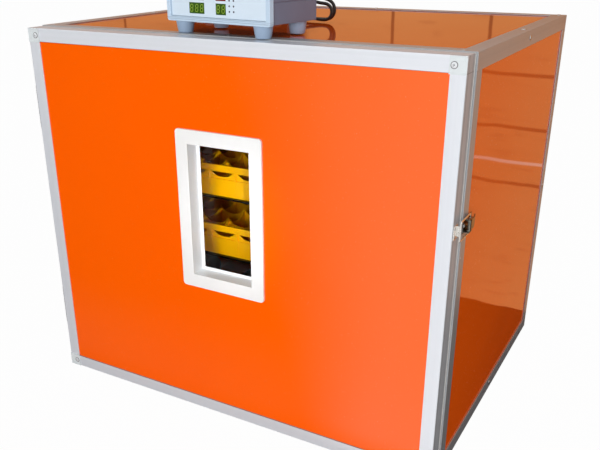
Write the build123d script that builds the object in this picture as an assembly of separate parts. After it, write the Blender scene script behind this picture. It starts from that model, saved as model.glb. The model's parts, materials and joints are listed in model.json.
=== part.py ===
from build123d import *
import math
import os

os.makedirs("parts", exist_ok=True)

# Egg incubator with two tilting tray layers. Millimetres, +Z up, the front looks along -Y.
# The origin is the middle of the underside, halfway between the door's front and the back.

# ---- driving dimensions ----
CABINET_W = 620.2
CABINET_D = 500.0  # with the door
CABINET_H = 535.0
SIDE_ROOM = 30.0  # least room beside the trays, for their drive
SWING_ROOM = 30.0  # least room before and behind the swinging trays
CELL_PITCH_X = 44.2
CELL_PITCH_Y = 44.8
CELL_W = 41.0
CELL_D = 41.6
TRAY_RIM = 2.0  # outer wall beyond the outermost cell walls
TRAY_H = 45.0
TRAY_FLOOR = 3.0
FLOOR_HOLE_R = 15.0
SLOT_H = 12.0  # vent slots in the tray's outer walls
SLOT_W = 38.0
SLOT_BELOW_TOP = 10.0
TRAY_BELOW_PIVOT = 13.0  # tray underside below the tilt axis
LAYER_PITCH = 89.0
TRAY_CLEAR = 1.5  # between a tray and its carrier's side plates
PLATE_T = 2.5  # carrier side plates and end stops
LEDGE_T = 3.0
LEDGE_W = 12.0
STOP_LENGTH = 45.0
STOP_H = 20.0
PLATE_ABOVE_PIVOT = 12.0
PIVOT_R = 5.0
BOSS_R = 10.0
BOSS_LENGTH = 10.0
FRONT_ROOM = 35.0  # between the swinging trays and the body's front plane
UNDER_ROOM = 211.0  # floor to the lower tilt axis
WALL = 25.0  # sandwich wall, with its edge angle
ANGLE_LEG = 20.0
ANGLE_T = 1.5
DOOR_T = 25.0
SEAM = 3.0  # between the door and the body
DOOR_INSET = 2.0  # door sides inside the body's sides
DOOR_LIFT = 3.0  # door's lower edge above the underside
DOOR_TOP_GAP = 1.0
DOOR_BAR_W = 18.0
SEAL_W = 14.0
SEAL_T = 2.7
CAP_SIZE = 19.0
CAP_T = 1.2
CAP_SCREW_IN = 4.0  # its screw, nearer the door's middle than the cap's own middle
SCREW_R = 3.4
SCREW_T = 1.2
FLANGE_SCREW_R = 1.8  # small screws near the front edge of the body's angles
FLANGE_SCREW_Y = 5.5  # behind the body's front plane
FLANGE_SCREW_Z = 303.0
FLANGE_SCREW_IN = 18.0  # from the side, on the top
BEZEL_W = 130.0
BEZEL_H = 220.0
BEZEL_T = 3.5
BEZEL_CORNER_R = 5.0
BEZEL_Z = 311.5  # window centre
VIEW_W = 93.0
VIEW_H = 182.0
SLEEVE_T = 3.0
VIEW_LEDGE = 4.0
VIEW_LEDGE_T = 1.5
PANE_T = 2.5
PANE_PLAY = 0.3
INNER_FRAME_T = 6.0
OVERCUT = 1.0  # a cutter or a joined bar reaches past a face by this
FIT_GAP = 0.3  # between neighbouring pieces that aren't fastened face to face

# hinges on the left side
HINGE_H = 60.0
HINGE_FROM_END = 80.0
KNUCKLE_R = 4.0
KNUCKLE_GAP = 0.3
HINGE_PIN_R = 1.95
HINGE_BORE_R = 2.0
LEAF_T = 1.5
LEAF_W = 28.0
LEAF_SCREW_FROM_END = 10.0
LEAF_SCREW_FROM_EDGE = 8.0
LEAF_BEYOND = 4.0  # door leaf from the door's back, where the knuckle's web is

# toggle latch on the right side
LATCH_Z = 344.0
LATCH_BASE_FROM_FRONT = 0.5
LATCH_BASE_L = 30.0
LATCH_BASE_W = 18.0
LATCH_PLATE_T = 1.2
LATCH_PIVOT_BACK = 8.0  # behind the base plate's front end
LATCH_PIVOT_OUT = 4.8  # from the body's side
LATCH_PIN_R = 1.2
LATCH_BORE_R = 1.25
EAR_SPAN = 16.4
EAR_L = 10.0
LEVER_W = 13.0
LEVER_NOSE_R = 3.4
LEVER_L = 28.0
LEVER_TIP_OUT = 4.2  # lever's outer face at its tip, from the body's side
LEVER_TIP_R = 5.0
LEVER_SHOULDER = 0.8  # lever's outer plate inside the nose's reach
FLANK_OVER = 5.0  # lever flanks past the bail's pin
BAIL_PIN_BACK = 8.0
BAIL_PIN_IN = 1.2
BAIL_WIRE_R = 1.0
BAIL_BORE_R = 1.06
BAIL_SPAN = 23.0
BAIL_LENGTH = 35.0
BAIL_BEND_R = 1.6
BAIL_HOOK = 2.5  # bail ends inside the lever's flanks
CATCH_W = 17.0
CATCH_FROM_FRONT = 1.0
CATCH_L = 13.0
CATCH_LIP_W = 12.0
CATCH_SCREW_R = 1.8
CATCH_SCREW_STEP = 10.0
CATCH_SCREW_BACK = 2.6
BASE_SCREW_R = 2.4
BASE_SCREW_T = 1.0
BASE_SCREW_IN = 2.6

# tray drive on the left side
ARM_LENGTH = 45.0
ARM_T = 4.0
ARM_W = 14.0
LINK_T = 4.0
LINK_GAP = 0.4
LINK_PIN_R = 3.0
LINK_BORE_R = 3.06
LINK_PIN_OVER = 1.0
BUSH_L = 12.0
BUSH_R = 9.0
BUSH_FLANGE = 34.0
BUSH_FLANGE_T = 3.0
BUSH_BORE_R = 5.05
PIN_END_GAP = 2.0
CRANK_Z = 95.0
SHAFT_R = 3.5
SHAFT_BORE_R = 3.56
SHAFT_DEPTH = 12.0
MOTOR_R = 30.0
MOTOR_L = 58.0
BRACKET_T = 3.0
BRACKET_FROM_ARM = 5.0
BRACKET_W = 74.0
BRACKET_FOOT = 39.0

# air, heat and water
FAN_SIZE = 120.0
FAN_T = 25.0
FAN_BORE_R = 57.0
FAN_STANDOFF = 12.0
FAN_POST_R = 4.0
FAN_POST_IN = 8.0
FAN_HUB_R = 20.0
FAN_HUB_T = 6.0  # the hub that holds the motor
FAN_STRUT = 4.0
FAN_NOSE_BACK = 3.0  # rotor hub behind the frame's front
ROTOR_GAP = 0.6
FAN_BELOW_CEILING = 75.0
BLADE_TIP_R = 54.5
BLADES = 7
BLADE_CHORD = 15.0
BLADE_T = 1.6
BLADE_PITCH = 38.0
BLADE_ROOT_IN = 4.0  # blade roots inside the hub
GUARD_T = 1.8
GUARD_RINGS = 4
GUARD_STEP = 14.0
GUARD_WIRE = 2.4
GUARD_BAR = 4.0
GUARD_BAR_IN = 6.0
FAN_SHAFT_R = 2.0
FAN_SHAFT_BORE_R = 2.06
HEATER_R = 4.0
HEATER_HALF_W = 165.0
HEATER_Z = 120.0
HEATER_RISE = 40.0
HEATER_OFF_WALL = 18.0
HEATER_BEND_R = 10.0
PAN_W = 380.0
PAN_D = 290.0
PAN_H = 40.0
PAN_T = 1.5
PAN_FROM_BRACKET = 36.0
PROBE_R = 3.0
PROBE_L = 45.0
PROBE_X = 140.0
PROBE_Z = 352.0
PROBE_OFF_WALL = 12.0
CLIP_W = 12.0
CLIP_H = 8.0
VENT_X = 170.0
VENT_BELOW_CEILING = 70.0
VENT_HOLE_R = 14.0
VENT_FLANGE_R = 26.0
VENT_FLANGE_T = 2.0
SHUTTER_T = 2.0
SHUTTER_R = 22.0
VENT_HUB_R = 3.0
VENT_HUB_BORE_R = 3.06
VENT_HEAD_OVER = 2.0
VENT_HEAD_T = 1.2
VENT_HOLES = 4
VENT_HOLE_PITCH_R = 8.5
VENT_SMALL_R = 3.8
SHUTTER_PEG_R = 2.0
SHUTTER_PEG_H = 4.0
SHUTTER_PEG_IN = 4.0

# controller on the top, turned a little towards the latch side
CTL_X = -11.6  # middle of its front face
CTL_FROM_FRONT = 24.0
CTL_TURN = 7.85
CTL_W = 166.0
CTL_H = 92.0
CTL_D = 95.0
CTL_BEZEL_T = 8.0
CTL_BEZEL_R = 3.0
CTL_WALL = 2.5
CTL_EDGE = 6.0
CTL_CASE_IN = 1.5  # case sides inside the bezel's sides
CTL_PANEL_BACK = 3.0
CTL_PANEL_T = 2.5
REAR_PLATE_T = 2.0
FOOT_H = 14.4
FOOT_TOP_R = 10.8
FOOT_END_R = 8.8
FOOT_SPIGOT_R = 2.0
FOOT_SIDE_IN = 19.6
FOOT_FRONT_IN = 12.4
FOOT_REAR_IN = 15.0
DIGITS_Z = 10.0  # lower displays above the bezel's lower edge
DISPLAY_H = 13.0
DISPLAY_STEP = 16.0
DISPLAY_WIDE = 25.2
DISPLAY_NARROW = 16.3
DISPLAY_WIDE_X = -33.8
DISPLAY_NARROW_X = 5.7
LAMP_R = 1.1
LAMP_OUT = 0.6
LAMP_X = (19.5, 26.3)
LAMP_Z0 = 14.3
LAMP_STEP = 6.3
LAMP_ROWS = 5
KEY_R = 4.5
KEY_GAP = 0.3
KEY_TRAVEL = 1.0
KEY_OUT = 1.5
KEY_STEM = 4.0
KEY_STEM_R = 2.0
KEY_FLANGE = 1.2
CONTACT_R = 3.0
KEY_X = (-51.0, -17.0, 17.0, 51.0)
KEY_Z = 76.0
BOARD_BACK = 12.0
BOARD_T = 1.6
BOARD_SIDE_IN = 14.0
BOARD_END_IN = 8.0
SWITCH_X = 52.0
SWITCH_Z = 62.0
SWITCH_W = 13.0
SWITCH_WALL = 1.2
SWITCH_END_ROOM = 2.0  # housing past the rocker at each end
SWITCH_RIM = 1.5
SWITCH_PLAY = 0.2
ROCKER_R = 8.6
ROCKER_SINK = 4.0
ROCKER_W = 10.0
ROCKER_OUT = 2.2
ROCKER_TILT = 9.0
ROCKER_PIN_R = 1.5
ROCKER_BORE_R = 1.55
BOOT_L = 22.0
BOOT_R = 5.5
BOOT_OVER_CORD = 1.0
BOOT_FLANGE_R = 7.5
BOOT_FLANGE_T = 2.5
MAINS_X = -12.0  # cord boots on the rear plate, in the controller's own frame
MAINS_Z = 58.0
HARNESS_X = -34.0
HARNESS_Z = 45.0
ELBOW_X = -12.0
ELBOW_Y = -10.5
ELBOW_Z = 7.5
ELBOW_L = 18.0
ELBOW_W = 16.0
ELBOW_H = 15.0

# cords
CORD_R = 2.3
CORD_STRAIGHT = 28.0  # straight out of a boot
COIL_RING_R = 26.0
COIL_HALF = 7.0
COIL_X = -112.0
COIL_Y = 46.0
TAIL_L = 20.0  # cord between the coil and the plug
PLUG_BOOT_L = 8.0
PLUG_L = 34.0
PLUG_W = 26.0
PLUG_SLEEVE = 1.5  # over the cord
PLUG_PIN_R = 2.0
PLUG_PIN_L = 19.0
PLUG_PIN_SPACE = 18.6

# ---- worked out from the driving dimensions ----
HALF_W = CABINET_W / 2
INNER_X = HALF_W - WALL
TOP = CABINET_H
INNER_TOP = TOP - WALL
FRONT = -CABINET_D / 2
DOOR_BACK = FRONT + DOOR_T
BODY_FRONT = DOOR_BACK + SEAM
BACK = CABINET_D / 2
INNER_BACK = BACK - WALL
AROUND_CELLS = TRAY_RIM + TRAY_CLEAR + PLATE_T
TRAY_OVER_PIVOT = TRAY_H - TRAY_BELOW_PIVOT
SWING_MOST = (INNER_BACK - BODY_FRONT) / 2 - SWING_ROOM
CARRIER_Y_MOST = math.sqrt(SWING_MOST**2 - TRAY_OVER_PIVOT**2)
TRAY_COLUMNS = int(2 * (INNER_X - SIDE_ROOM - AROUND_CELLS) / CELL_PITCH_X)
TRAY_ROWS = int(2 * (CARRIER_Y_MOST - AROUND_CELLS) / CELL_PITCH_Y)
TRAY_W = TRAY_COLUMNS * CELL_PITCH_X + 2 * TRAY_RIM
TRAY_D = TRAY_ROWS * CELL_PITCH_Y + 2 * TRAY_RIM
CARRIER_X = TRAY_W / 2 + TRAY_CLEAR + PLATE_T
CARRIER_Y = TRAY_D / 2 + TRAY_CLEAR + PLATE_T
TRAY_SWING = math.hypot(CARRIER_Y, TRAY_OVER_PIVOT)
LOWER_PIVOT_Z = WALL + UNDER_ROOM
UPPER_PIVOT_Z = LOWER_PIVOT_Z + LAYER_PITCH
PIVOT_Y = BODY_FRONT + FRONT_ROOM + TRAY_SWING
VENT_Z = INNER_TOP - VENT_BELOW_CEILING
DOOR_X = HALF_W - DOOR_INSET
DOOR_LOW = DOOR_LIFT
DOOR_HIGH = TOP - DOOR_TOP_GAP
DOOR_SKIN_FRONT = FRONT + ANGLE_T
DOOR_SKIN_BACK = DOOR_BACK - ANGLE_T
SKIN_X = HALF_W - ANGLE_T
SKIN_TOP = TOP - ANGLE_T
SKIN_BACK = BACK - ANGLE_T
SKIN_FRONT = BODY_FRONT + ANGLE_T


def block(x0, x1, y0, y1, z0, z1):
    """A box between three pairs of planes."""
    return Pos((x0 + x1) / 2, (y0 + y1) / 2, (z0 + z1) / 2) * Box(x1 - x0, y1 - y0, z1 - z0)


def rod(radius, start, end):
    """A round bar between two points."""
    axis = Vector(*end) - Vector(*start)
    return Solid.make_cylinder(radius, axis.length, Plane(origin=start, z_dir=axis))


def save(name, *shapes):
    """Write a node, with each of its shapes as solids of its own."""
    solids = [solid for shape in shapes for solid in shape.solids()]
    export_step(solids[0] if len(solids) == 1 else Compound(solids), f"parts/{name}.step")


# ---- cabinet shell ----
def cabinet_shell():
    side = block(INNER_X, SKIN_X, SKIN_FRONT, SKIN_BACK, ANGLE_T, SKIN_TOP)
    save("right_panel", side)
    save("left_panel", mirror(side, Plane.YZ))
    save("top_panel", block(-INNER_X, INNER_X, SKIN_FRONT, SKIN_BACK, INNER_TOP, SKIN_TOP))
    floor_slab = block(-INNER_X, INNER_X, SKIN_FRONT, SKIN_BACK, 0, WALL)
    for y0, y1 in ((SKIN_FRONT, BODY_FRONT + ANGLE_LEG), (BACK - ANGLE_LEG, SKIN_BACK)):
        floor_slab -= block(-INNER_X, INNER_X, y0, y1, 0, ANGLE_T)
    save("bottom_panel", floor_slab)
    rear = block(-INNER_X, INNER_X, INNER_BACK, SKIN_BACK, WALL, INNER_TOP)
    rear -= rod(VENT_HOLE_R, (VENT_X, INNER_BACK - OVERCUT, VENT_Z), (VENT_X, BACK, VENT_Z))
    save("rear_panel", rear)


# ---- edge angles ----
def edge_angles():
    leg, t = ANGLE_LEG, ANGLE_T
    cross, side, upright = [], [], []
    for low in (True, False):
        z_out = (0, t) if low else (TOP - t, TOP)
        z_leg = (0, leg) if low else (TOP - leg, TOP)
        for front in (True, False):
            y_out = (BODY_FRONT, BODY_FRONT + t) if front else (BACK - t, BACK)
            y_leg = (BODY_FRONT, BODY_FRONT + leg) if front else (BACK - leg, BACK)
            flat = block(-HALF_W, HALF_W, *y_leg, *z_out)
            cross.append(flat + block(-HALF_W, HALF_W, *y_out, *z_leg))
        for hand in (-1, 1):
            x_out = sorted((hand * (HALF_W - t), hand * HALF_W))
            x_leg = sorted((hand * (HALF_W - leg), hand * HALF_W))
            flat = block(*x_leg, BODY_FRONT + leg, BACK - leg, *z_out)
            z_side = (t, leg) if low else (TOP - leg, TOP - t)
            side.append(flat + block(*x_out, BODY_FRONT + t, BACK - t, *z_side))
    for front in (True, False):
        y_out = (BODY_FRONT, BODY_FRONT + t) if front else (BACK - t, BACK)
        y_leg = (BODY_FRONT, BODY_FRONT + leg) if front else (BACK - leg, BACK)
        for hand in (-1, 1):
            x_out = sorted((hand * (HALF_W - t), hand * HALF_W))
            x_leg = sorted((hand * (HALF_W - leg), hand * HALF_W))
            bar = block(*x_leg, *y_out, leg, TOP - leg)
            upright.append(bar + block(*x_out, *y_leg, leg, TOP - leg))
    save("crosswise_angles", *cross)
    save("side_angles", *side)
    save("upright_angles", *upright)


def cabinet_screws():
    """Pan-head screws in the edge angles: in the middle of each length and by the corners."""
    mid_y = (BODY_FRONT + BACK) / 2
    mid_z = TOP / 2
    leg_mid = ANGLE_LEG / 2
    heads = []
    for hand in (-1, 1):
        x = hand * HALF_W
        out = hand * (HALF_W + SCREW_T)
        for y, z in ((mid_y, TOP - leg_mid), (mid_y, leg_mid), (BACK - leg_mid, mid_z)):
            heads.append(rod(SCREW_R, (x, y, z), (out, y, z)))
        x_top = hand * (HALF_W - leg_mid)
        for y in (mid_y, BACK - leg_mid):
            heads.append(rod(SCREW_R, (x_top, y, TOP), (x_top, y, TOP + SCREW_T)))
    y = BACK - leg_mid
    heads.append(rod(SCREW_R, (0, y, TOP), (0, y, TOP + SCREW_T)))
    for x in (-HALF_W + leg_mid, 0, HALF_W - leg_mid):
        for z in (leg_mid, TOP - leg_mid):
            heads.append(rod(SCREW_R, (x, BACK, z), (x, BACK + SCREW_T, z)))
    y, z = BODY_FRONT + FLANGE_SCREW_Y, FLANGE_SCREW_Z
    heads.append(rod(FLANGE_SCREW_R, (HALF_W, y, z), (HALF_W + SCREW_T, y, z)))
    for x in (-HALF_W + FLANGE_SCREW_IN, 0, HALF_W - FLANGE_SCREW_IN):
        heads.append(rod(FLANGE_SCREW_R, (x, y, TOP), (x, y, TOP + SCREW_T)))
    save("cabinet_screws", *heads)


# ---- door ----
HOLE_W = VIEW_W + 2 * SLEEVE_T + 2 * FIT_GAP
HOLE_H = VIEW_H + 2 * SLEEVE_T + 2 * FIT_GAP
BEZEL_FACE = DOOR_SKIN_FRONT - BEZEL_T
PANE_FRONT = DOOR_SKIN_BACK - PANE_T
LEDGE_FRONT = PANE_FRONT - VIEW_LEDGE_T
INNER_FRAME_BACK = DOOR_SKIN_BACK + INNER_FRAME_T


def window_slab(width, height, y0, y1, corner=0.0):
    """An upright rectangular slab about the window's centre."""
    slab = Pos(0, (y0 + y1) / 2, BEZEL_Z) * Box(width, y1 - y0, height)
    return fillet(slab.edges().filter_by(Axis.Y), corner) if corner else slab


def door():
    t, bar = ANGLE_T, DOOR_BAR_W
    panel = block(-DOOR_X + t, DOOR_X - t, DOOR_SKIN_FRONT, DOOR_SKIN_BACK, DOOR_LOW + t, DOOR_HIGH - t)
    save("door_panel", panel - window_slab(HOLE_W, HOLE_H, FRONT, DOOR_BACK))
    bars = []
    for hand in (-1, 1):
        x_web = sorted((hand * (DOOR_X - t), hand * DOOR_X))
        x_leg = sorted((hand * (DOOR_X - bar), hand * DOOR_X))
        web = block(*x_web, FRONT, DOOR_BACK, DOOR_LOW + bar, DOOR_HIGH - bar)
        for y0, y1 in ((FRONT, FRONT + t), (DOOR_BACK - t, DOOR_BACK)):
            web += block(*x_leg, y0, y1, DOOR_LOW + bar, DOOR_HIGH - bar)
        bars.append(web)
    for low in (True, False):
        z_web = (DOOR_LOW, DOOR_LOW + t) if low else (DOOR_HIGH - t, DOOR_HIGH)
        z_leg = (DOOR_LOW, DOOR_LOW + bar) if low else (DOOR_HIGH - bar, DOOR_HIGH)
        web = block(-DOOR_X, DOOR_X, FRONT, DOOR_BACK, *z_web)
        for y0, y1 in ((FRONT, FRONT + t), (DOOR_BACK - t, DOOR_BACK)):
            web += block(-DOOR_X, DOOR_X, y0, y1, *z_leg)
        for x0, x1 in ((-DOOR_X, -DOOR_X + t), (DOOR_X - t, DOOR_X)):
            web += block(x0, x1, FRONT, DOOR_BACK, *z_leg)
        bars.append(web)
    save("door_frame_bars", *bars)
    caps, screws = [], []
    for hand in (-1, 1):
        for low in (True, False):
            x_cap = sorted((hand * (DOOR_X - CAP_SIZE), hand * DOOR_X))
            z_cap = (DOOR_LOW, DOOR_LOW + CAP_SIZE) if low else (DOOR_HIGH - CAP_SIZE, DOOR_HIGH)
            caps.append(block(*x_cap, FRONT - CAP_T, FRONT, *z_cap))
            x, z = sum(x_cap) / 2 - hand * CAP_SCREW_IN, sum(z_cap) / 2
            screws.append(rod(SCREW_R, (x, FRONT - CAP_T - SCREW_T, z), (x, FRONT - CAP_T, z)))
    save("door_corner_caps", *caps)
    seal = block(-DOOR_X, DOOR_X, DOOR_BACK, DOOR_BACK + SEAL_T, DOOR_LOW, DOOR_HIGH)
    inner = DOOR_X - SEAL_W
    low, high = DOOR_LOW + SEAL_W, DOOR_HIGH - SEAL_W
    save("door_seal", seal - block(-inner, inner, DOOR_BACK, DOOR_BACK + SEAL_T, low, high))
    return screws


def window():
    sleeve_w, sleeve_h = VIEW_W + 2 * SLEEVE_T, VIEW_H + 2 * SLEEVE_T
    bezel = window_slab(BEZEL_W, BEZEL_H, BEZEL_FACE, DOOR_SKIN_FRONT, BEZEL_CORNER_R)
    bezel += window_slab(sleeve_w, sleeve_h, BEZEL_FACE, PANE_FRONT)
    bezel -= window_slab(VIEW_W, VIEW_H, BEZEL_FACE, LEDGE_FRONT)
    ledge_w, ledge_h = VIEW_W - 2 * VIEW_LEDGE, VIEW_H - 2 * VIEW_LEDGE
    save("window_bezel", bezel - window_slab(ledge_w, ledge_h, BEZEL_FACE, PANE_FRONT))
    pane_w, pane_h = HOLE_W - 2 * PANE_PLAY, HOLE_H - 2 * PANE_PLAY
    outer = window_slab(pane_w, pane_h, PANE_FRONT, DOOR_SKIN_BACK)
    rebate = INNER_FRAME_BACK - PANE_T
    inner = window_slab(sleeve_w, sleeve_h, rebate, INNER_FRAME_BACK)
    save("window_panes", outer, inner)
    frame = window_slab(BEZEL_W, BEZEL_H, DOOR_SKIN_BACK, INNER_FRAME_BACK, BEZEL_CORNER_R)
    frame -= window_slab(VIEW_W, VIEW_H, DOOR_SKIN_BACK, INNER_FRAME_BACK)
    frame -= window_slab(sleeve_w + PANE_PLAY, sleeve_h + PANE_PLAY, rebate, INNER_FRAME_BACK)
    save("window_inner_frame", frame)


# ---- door hinges ----
HINGE_X = -(HALF_W + KNUCKLE_R)
HINGE_Y = BODY_FRONT - SEAM / 2


def hinges(screws):
    cabinet_leaves, door_leaves, cabinet_heads = [], [], []
    third = HINGE_H / 3
    for z0 in (HINGE_FROM_END, TOP - HINGE_FROM_END - HINGE_H):
        z1, z2, z3 = z0 + third, z0 + 2 * third, z0 + HINGE_H
        leaf = block(-HALF_W - LEAF_T, -HALF_W, BODY_FRONT, BODY_FRONT + LEAF_W, z0, z3)
        leaf -= block(-HALF_W - LEAF_T, -HALF_W, BODY_FRONT, BODY_FRONT + KNUCKLE_R, z1, z2)
        bore = rod(HINGE_BORE_R, (HINGE_X, HINGE_Y, z0), (HINGE_X, HINGE_Y, z3))
        for a, b in ((z0, z1 - KNUCKLE_GAP), (z2 + KNUCKLE_GAP, z3)):
            knuckle = rod(KNUCKLE_R, (HINGE_X, HINGE_Y, a), (HINGE_X, HINGE_Y, b))
            web = block(-HALF_W - LEAF_T, -HALF_W - FIT_GAP, HINGE_Y, BODY_FRONT, a, b)
            leaf += knuckle + web
        leaf -= bore
        cabinet_leaves.append(leaf)
        cabinet_leaves.append(rod(HINGE_PIN_R, (HINGE_X, HINGE_Y, z0), (HINGE_X, HINGE_Y, z3)))
        leaf_y = DOOR_BACK - LEAF_W + LEAF_BEYOND
        door_leaf = block(-DOOR_X - LEAF_T, -DOOR_X, leaf_y, DOOR_BACK - FIT_GAP, z0, z3)
        door_leaf += block(HINGE_X, -DOOR_X, DOOR_BACK - LEAF_BEYOND, DOOR_BACK - FIT_GAP, z1, z2)
        door_leaf += rod(KNUCKLE_R, (HINGE_X, HINGE_Y, z1), (HINGE_X, HINGE_Y, z2))
        door_leaves.append(door_leaf - bore)
        for z in (z0 + LEAF_SCREW_FROM_END, (z0 + z3) / 2, z3 - LEAF_SCREW_FROM_END):
            y = BODY_FRONT + LEAF_W - LEAF_SCREW_FROM_EDGE
            face = -HALF_W - LEAF_T
            cabinet_heads.append(rod(SCREW_R, (face - SCREW_T, y, z), (face, y, z)))
            y = leaf_y + LEAF_SCREW_FROM_EDGE
            face = -DOOR_X - LEAF_T
            screws.append(rod(SCREW_R, (face - SCREW_T, y, z), (face, y, z)))
    save("cabinet_hinge_leaves", *cabinet_leaves, *cabinet_heads)
    save("door_hinge_leaves", *door_leaves)


# ---- toggle latch ----
LATCH_Y0 = BODY_FRONT + LATCH_BASE_FROM_FRONT
LATCH_PIVOT_X = HALF_W + LATCH_PIVOT_OUT
LATCH_PIVOT_Y = LATCH_Y0 + LATCH_PIVOT_BACK
BAIL_X = LATCH_PIVOT_X - BAIL_PIN_IN
BAIL_Y = LATCH_PIVOT_Y + BAIL_PIN_BACK
LATCH_FACE = HALF_W + LATCH_PLATE_T


def latch(screws):
    t = LATCH_PLATE_T
    half_ear, half_lever = EAR_SPAN / 2, LEVER_W / 2
    base_z = (LATCH_Z - LATCH_BASE_W / 2, LATCH_Z + LATCH_BASE_W / 2)
    base = block(HALF_W, LATCH_FACE, LATCH_Y0, LATCH_Y0 + LATCH_BASE_L, *base_z)
    for side in (-1, 1):
        z_ear = sorted((LATCH_Z + side * half_ear, LATCH_Z + side * (half_ear - t)))
        ear_x = LATCH_PIVOT_X + LEVER_NOSE_R - LEVER_SHOULDER
        base += block(HALF_W, ear_x, LATCH_PIVOT_Y - EAR_L / 2, LATCH_PIVOT_Y + EAR_L / 2, *z_ear)
    low = (LATCH_PIVOT_X, LATCH_PIVOT_Y, LATCH_Z - half_ear)
    high = (LATCH_PIVOT_X, LATCH_PIVOT_Y, LATCH_Z + half_ear)
    base -= rod(LATCH_BORE_R, low, high)
    heads = []
    for y in (LATCH_Y0 + BASE_SCREW_IN, LATCH_Y0 + LATCH_BASE_L - BASE_SCREW_IN):
        heads.append(rod(BASE_SCREW_R, (LATCH_FACE, y, LATCH_Z), (LATCH_FACE + BASE_SCREW_T, y, LATCH_Z)))
    save("latch_base", base, rod(LATCH_PIN_R, low, high), *heads)

    outer = LATCH_PIVOT_X + LEVER_NOSE_R - LEVER_SHOULDER
    flank_back = BAIL_Y + FLANK_OVER
    lever_z = (LATCH_Z - half_lever, LATCH_Z + half_lever)
    nose_low = (LATCH_PIVOT_X, LATCH_PIVOT_Y, lever_z[0])
    nose_high = (LATCH_PIVOT_X, LATCH_PIVOT_Y, lever_z[1])
    lever = rod(LEVER_NOSE_R, nose_low, nose_high)
    lever += block(BAIL_X - BAIL_BORE_R - LEVER_SHOULDER, outer, LATCH_PIVOT_Y, flank_back, *lever_z)
    inside = (lever_z[0] + t, lever_z[1] - t)
    room_x = (HALF_W, outer - t)
    lever -= block(*room_x, LATCH_PIVOT_Y - LEVER_NOSE_R, flank_back, *inside)
    tip_x, tip_y = HALF_W + LEVER_TIP_OUT, LATCH_PIVOT_Y + LEVER_L
    profile = Polyline(
        (outer - t, LATCH_PIVOT_Y),
        (outer, LATCH_PIVOT_Y),
        (outer, flank_back),
        (tip_x, tip_y),
        (tip_x - t, tip_y),
        (outer - t, flank_back),
        close=True,
    )
    tongue = block(HALF_W, outer, LATCH_PIVOT_Y, tip_y, *lever_z)
    tip_edges = tongue.edges().filter_by(Axis.X).group_by(Axis.Y)[-1]
    lever += (Pos(0, 0, lever_z[0]) * extrude(make_face(profile), LEVER_W)) & fillet(tip_edges, LEVER_TIP_R)
    lever -= rod(LATCH_BORE_R, nose_low, nose_high)
    bail_low = (BAIL_X, BAIL_Y, lever_z[0])
    bail_high = (BAIL_X, BAIL_Y, lever_z[1])
    save("latch_lever", lever - rod(BAIL_BORE_R, bail_low, bail_high))

    bar_y = BAIL_Y - BAIL_LENGTH
    wires = []
    for side in (-1, 1):
        z = LATCH_Z + side * BAIL_SPAN / 2
        z_in = LATCH_Z + side * (half_lever - BAIL_HOOK)
        points = [(BAIL_X, BAIL_Y, z_in), (BAIL_X, BAIL_Y, z), (BAIL_X, bar_y, z), (BAIL_X, bar_y, LATCH_Z)]
        wires.append(FilletPolyline(*points, radius=BAIL_BEND_R))
    bail = None
    for route in wires:
        wire = sweep(Plane(origin=route @ 0, z_dir=route % 0) * Circle(BAIL_WIRE_R), path=route)
        bail = wire if bail is None else bail + wire
    save("latch_bail", bail)

    lip_y = bar_y + BAIL_WIRE_R + FIT_GAP
    catch_y = FRONT + CATCH_FROM_FRONT
    catch_z = (LATCH_Z - CATCH_W / 2, LATCH_Z + CATCH_W / 2)
    catch = block(DOOR_X, DOOR_X + t, catch_y, catch_y + CATCH_L, *catch_z)
    lip_top = BAIL_X - BAIL_WIRE_R - FIT_GAP
    lip_z = (LATCH_Z - CATCH_LIP_W / 2, LATCH_Z + CATCH_LIP_W / 2)
    catch += block(DOOR_X, lip_top, lip_y, lip_y + t, *lip_z)
    save("latch_catch", catch)
    face, y = DOOR_X + t, catch_y + CATCH_SCREW_BACK
    for z in (LATCH_Z - CATCH_SCREW_STEP / 2, LATCH_Z + CATCH_SCREW_STEP / 2):
        screws.append(rod(CATCH_SCREW_R, (face, y, z), (face + BASE_SCREW_T, y, z)))


# ---- egg trays and their carriers ----
def egg_tray():
    """One moulded tray about the tilt axis, which is the shape's own origin."""
    z0, z1 = -TRAY_BELOW_PIVOT, TRAY_H - TRAY_BELOW_PIVOT
    tray = block(-TRAY_W / 2, TRAY_W / 2, -TRAY_D / 2, TRAY_D / 2, z0, z1)
    grid = GridLocations(CELL_PITCH_X, CELL_PITCH_Y, TRAY_COLUMNS, TRAY_ROWS)
    deep = TRAY_H - TRAY_FLOOR
    tray -= [Pos(0, 0, z1 - deep / 2) * at * Box(CELL_W, CELL_D, deep) for at in grid]
    tray -= [Pos(0, 0, z0 + TRAY_FLOOR / 2) * at * Cylinder(FLOOR_HOLE_R, TRAY_FLOOR) for at in grid]
    slot_z = z1 - SLOT_BELOW_TOP - SLOT_H / 2
    wall_y = TRAY_RIM + (CELL_PITCH_Y - CELL_D) / 2
    for column in range(TRAY_COLUMNS):
        x = (column - (TRAY_COLUMNS - 1) / 2) * CELL_PITCH_X
        for hand in (-1, 1):
            y = hand * (TRAY_D / 2 - wall_y / 2)
            tray -= Pos(x, y, slot_z) * Box(SLOT_W, wall_y, SLOT_H)
    return tray


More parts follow.
